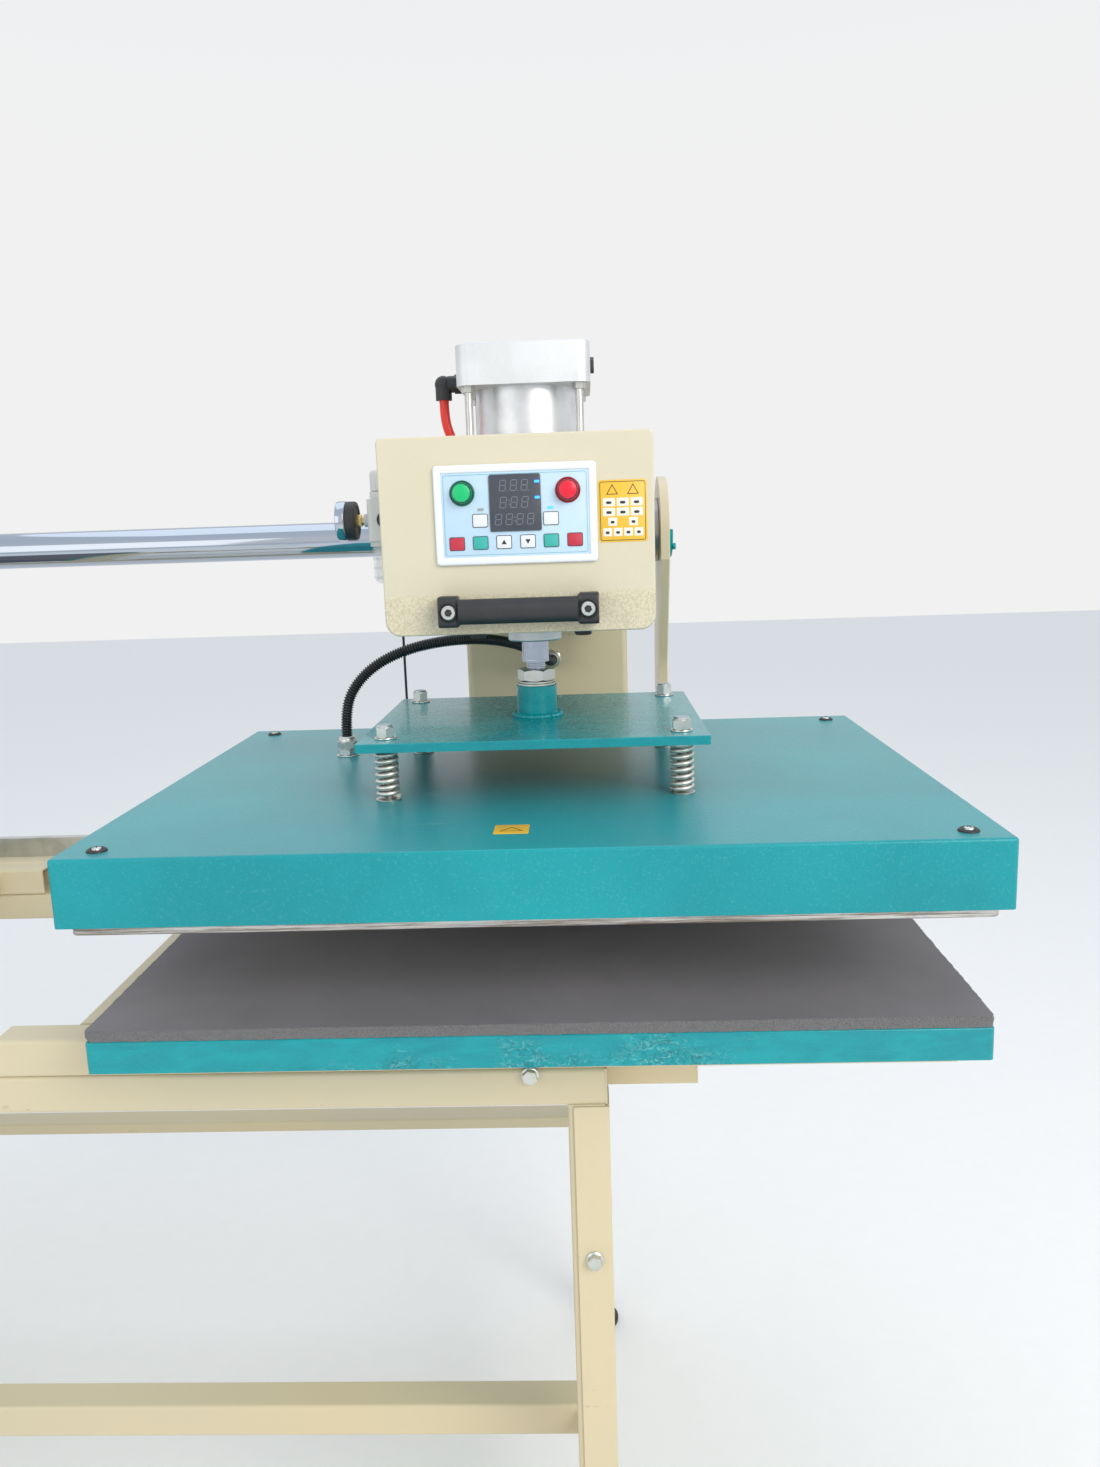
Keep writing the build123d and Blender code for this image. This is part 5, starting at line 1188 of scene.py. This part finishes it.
# ---- glands and welds ------------------------------------------------------------------------------
def conduit_glands():
    """Hexagon glands: a chamfered hexagon base, a hexagon cap nut and a rounded nose."""
    x, y, _ = CONDUIT_POINTS[0]
    height = 0.024
    nose = [(0.0072, 0.0165), (0.0104, 0.0165), (0.0104, 0.0200), (0.0094, 0.0228), (0.0080, height - 0.0002),
            (0.0072, height - 0.0006)]
    shapes = [turned([(0, 0), (0.0135, 0), (0.0137, 0.0008), (0.0130, 0.0014), (0, 0.0014)], (x, y, COVER_TOP)),
              hexagon(0.022, 0.0072, (x, y, COVER_TOP + 0.0014), "Z", 0.35),
              turned([(0, 0.0070), (0.0098, 0.0070), (0.0098, 0.0098), (0, 0.0098)], (x, y, COVER_TOP)),
              hexagon(0.0212, 0.0085, (x, y, COVER_TOP + 0.0096), "Z", 0.8), turned(nose, (x, y, COVER_TOP), "Z", 40)]
    piece = made("platen_gland_nut", join(*shapes), ZINC, "platen")
    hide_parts("platen_gland")
    end = CONDUIT_POINTS[-1]
    wall = low("carriage_column")[1]
    nose = [(0.0072, 0), (0.0104, 0), (0.0104, 0.0030), (0.0090, 0.0052), (0.0074, 0.0054)]
    shapes = [hexagon(0.022, 0.0080, (end[0], wall, end[2]), "-Y", 0.1),
              turned(nose, (end[0], wall - 0.0078, end[2]), "-Y", 40)]
    piece = made("column_gland_nut", join(*shapes), ZINC, "carriage")
    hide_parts("column_gland")


def weld_bead(path, radius=0.0025, seed=1):
    """A weld: a bead whose width swells at every drop, half sunk in the seam."""
    path, length = spaced(np.array(path, float), 0.0009)
    rng = np.random.default_rng(seed)
    drops = np.abs(np.sin(np.linspace(0, length / 0.0032 * math.pi, len(path))))
    swell = radius * (0.74 + 0.26 * drops) * (1 + 0.06 * rng.normal(size=len(path)))
    reference = (0.31, 0.59, 0.74)
    return tube(path, swell, 8, reference)


def circle(x, y, z, radius, steps=80):
    """Points round a level circle, closed."""
    angle = np.linspace(0, TURN, steps)
    return np.stack([x + radius * np.cos(angle), y + radius * np.sin(angle), np.full(steps, z)], -1)


def welds():
    """Beads at the ram's socket and at the frame's visible joints."""
    top = COVER_TOP + 0.054 + 0.009
    socket = weld_bead(circle(RAM[0], RAM[1], top + 0.0012, 0.0245), 0.0038, 5)
    made("socket_weld", socket, PLAIN_ENAMEL, "ram", 60)
    beads = []
    leg_lo, leg_hi = low("legs"), high("legs")
    inner, top_z = leg_hi[0] - 0.040, leg_hi[2]
    y0, y1 = leg_lo[1], leg_hi[1]
    stretcher = low("frame_stretchers")
    for side in (-1, 1):
        for y in (y0 + 0.040, y1 - 0.040):
            beads.append(weld_bead([(side * inner, y, top_z - 0.040), (side * (inner + 0.040), y, top_z - 0.040)],
                                   seed=int(50 + side * 10 + y * 10)))
        for z in (stretcher[2], stretcher[2] + 0.040):
            beads.append(weld_bead([(side * inner, stretcher[1], z), (side * inner, stretcher[1] + 0.040, z)],
                                   0.0022, 20 + side))
        beads.append(weld_bead([(side * inner, stretcher[1], stretcher[2]),
                                (side * inner, stretcher[1], stretcher[2] + 0.040)], 0.0022, 30 + side))
        beads.append(weld_bead([(side * inner, y0 + 0.0005, top_z + 0.0003), (side * (inner + 0.036), y0 + 0.0005,
                                                                               top_z + 0.0003)], 0.0014, 40 + side))
    made("frame_welds", join(*beads), PAINT, "frame", 60)


conduit_glands()
welds()


# ---- floor, light and camera ------------------------------------------------------------------------
def surround():
    """Plain white surround, the same all round, a little bluer overhead."""
    world = bpy.data.worlds.new("studio")
    world.use_nodes = True
    f = Finish.over(world.node_tree)
    direction = f.node("ShaderNodeTexCoord").outputs["Generated"]
    up = f.number("ShaderNodeSeparateXYZ", None, {0: direction}, output=2)
    sky = f.mixed(up.rise(0.25, 0.80), (1.0, 1.0, 1.0), (0.84, 0.91, 1.0))
    shade = f.node("ShaderNodeBackground", None, {"Color": sky, "Strength": SURROUND_STRENGTH})
    f.tree.links.new(shade.outputs[0], f.tree.nodes["World Output"].inputs[0])
    bpy.context.scene.world = world


def studio():
    """Pale floor, soft lights and a pale surround."""
    floor_shape = (np.array([(-FLOOR_HALF, -FLOOR_HALF, 0), (FLOOR_HALF, -FLOOR_HALF, 0),
                             (FLOOR_HALF, FLOOR_HALF, 0), (-FLOOR_HALF, FLOOR_HALF, 0)]), [[0, 1, 2, 3]])
    f = Finish("studio_floor", Metallic=0.0)
    speck = f.noise(30, 3)
    f.colour(f.mixed(speck, (0.84, 0.84, 0.835), (0.87, 0.87, 0.865)))
    f.set(Roughness=0.85 + speck * 0.05)
    made("studio_floor", floor_shape, f.material)
    surround()
    for name, place, aim, size, power, colour in (
            ("key", (2.9, -3.2, 3.0), (0.5, 0, 0.9), 2.4, 105, (1.0, 0.955, 0.88)),
            ("fill", (-2.2, -3.4, 2.0), (0.3, 0, 0.9), 2.6, 18, (1.0, 0.97, 0.93)),
            ("sky", (0.2, 0.8, 4.2), (0.3, 0, 1.0), 3.4, 25, (0.96, 0.98, 1.0))):
        lamp = bpy.data.lights.new(name, "AREA")
        lamp.size = size
        lamp.energy = power
        lamp.color = colour
        holder = bpy.data.objects.new(name, lamp)
        bpy.context.scene.collection.objects.link(holder)
        direction = np.array(aim) - np.array(place)
        flat = math.hypot(direction[0], direction[1])
        holder.location = place
        holder.rotation_euler = (math.atan2(flat, -direction[2]), 0, math.atan2(direction[1], direction[0]) - TURN / 4)
    bpy.context.scene.view_settings.view_transform = "Standard"


def camera():
    """Camera at the operator's right, at chest height, wide lens, looking down a little."""
    lens = bpy.data.cameras.new("camera")
    lens.lens = CAMERA_LENS
    lens.sensor_width = 36.0
    lens.clip_start = 0.05
    holder = bpy.data.objects.new("camera", lens)
    bpy.context.scene.collection.objects.link(holder)
    holder.location = (RAM[0] + CAMERA_FROM_COVER[0], RAM[1] + CAMERA_FROM_COVER[1], COVER_TOP + CAMERA_FROM_COVER[2])
    holder.rotation_euler = tuple(math.radians(angle) for angle in CAMERA_TURN)
    bpy.context.scene.camera = holder


CAMERA_TURN = (79.681, 1.884, 1.749)            # degrees
CAMERA_FROM_COVER = (0.05668, -1.20053, 0.26033)  # from the cover's top on the ram's axis, metres
CAMERA_LENS = 27.04                             # millimetres
FLOOR_HALF = 14.0                               # half the floor's width, metres
SURROUND_STRENGTH = 0.88
studio()
camera()
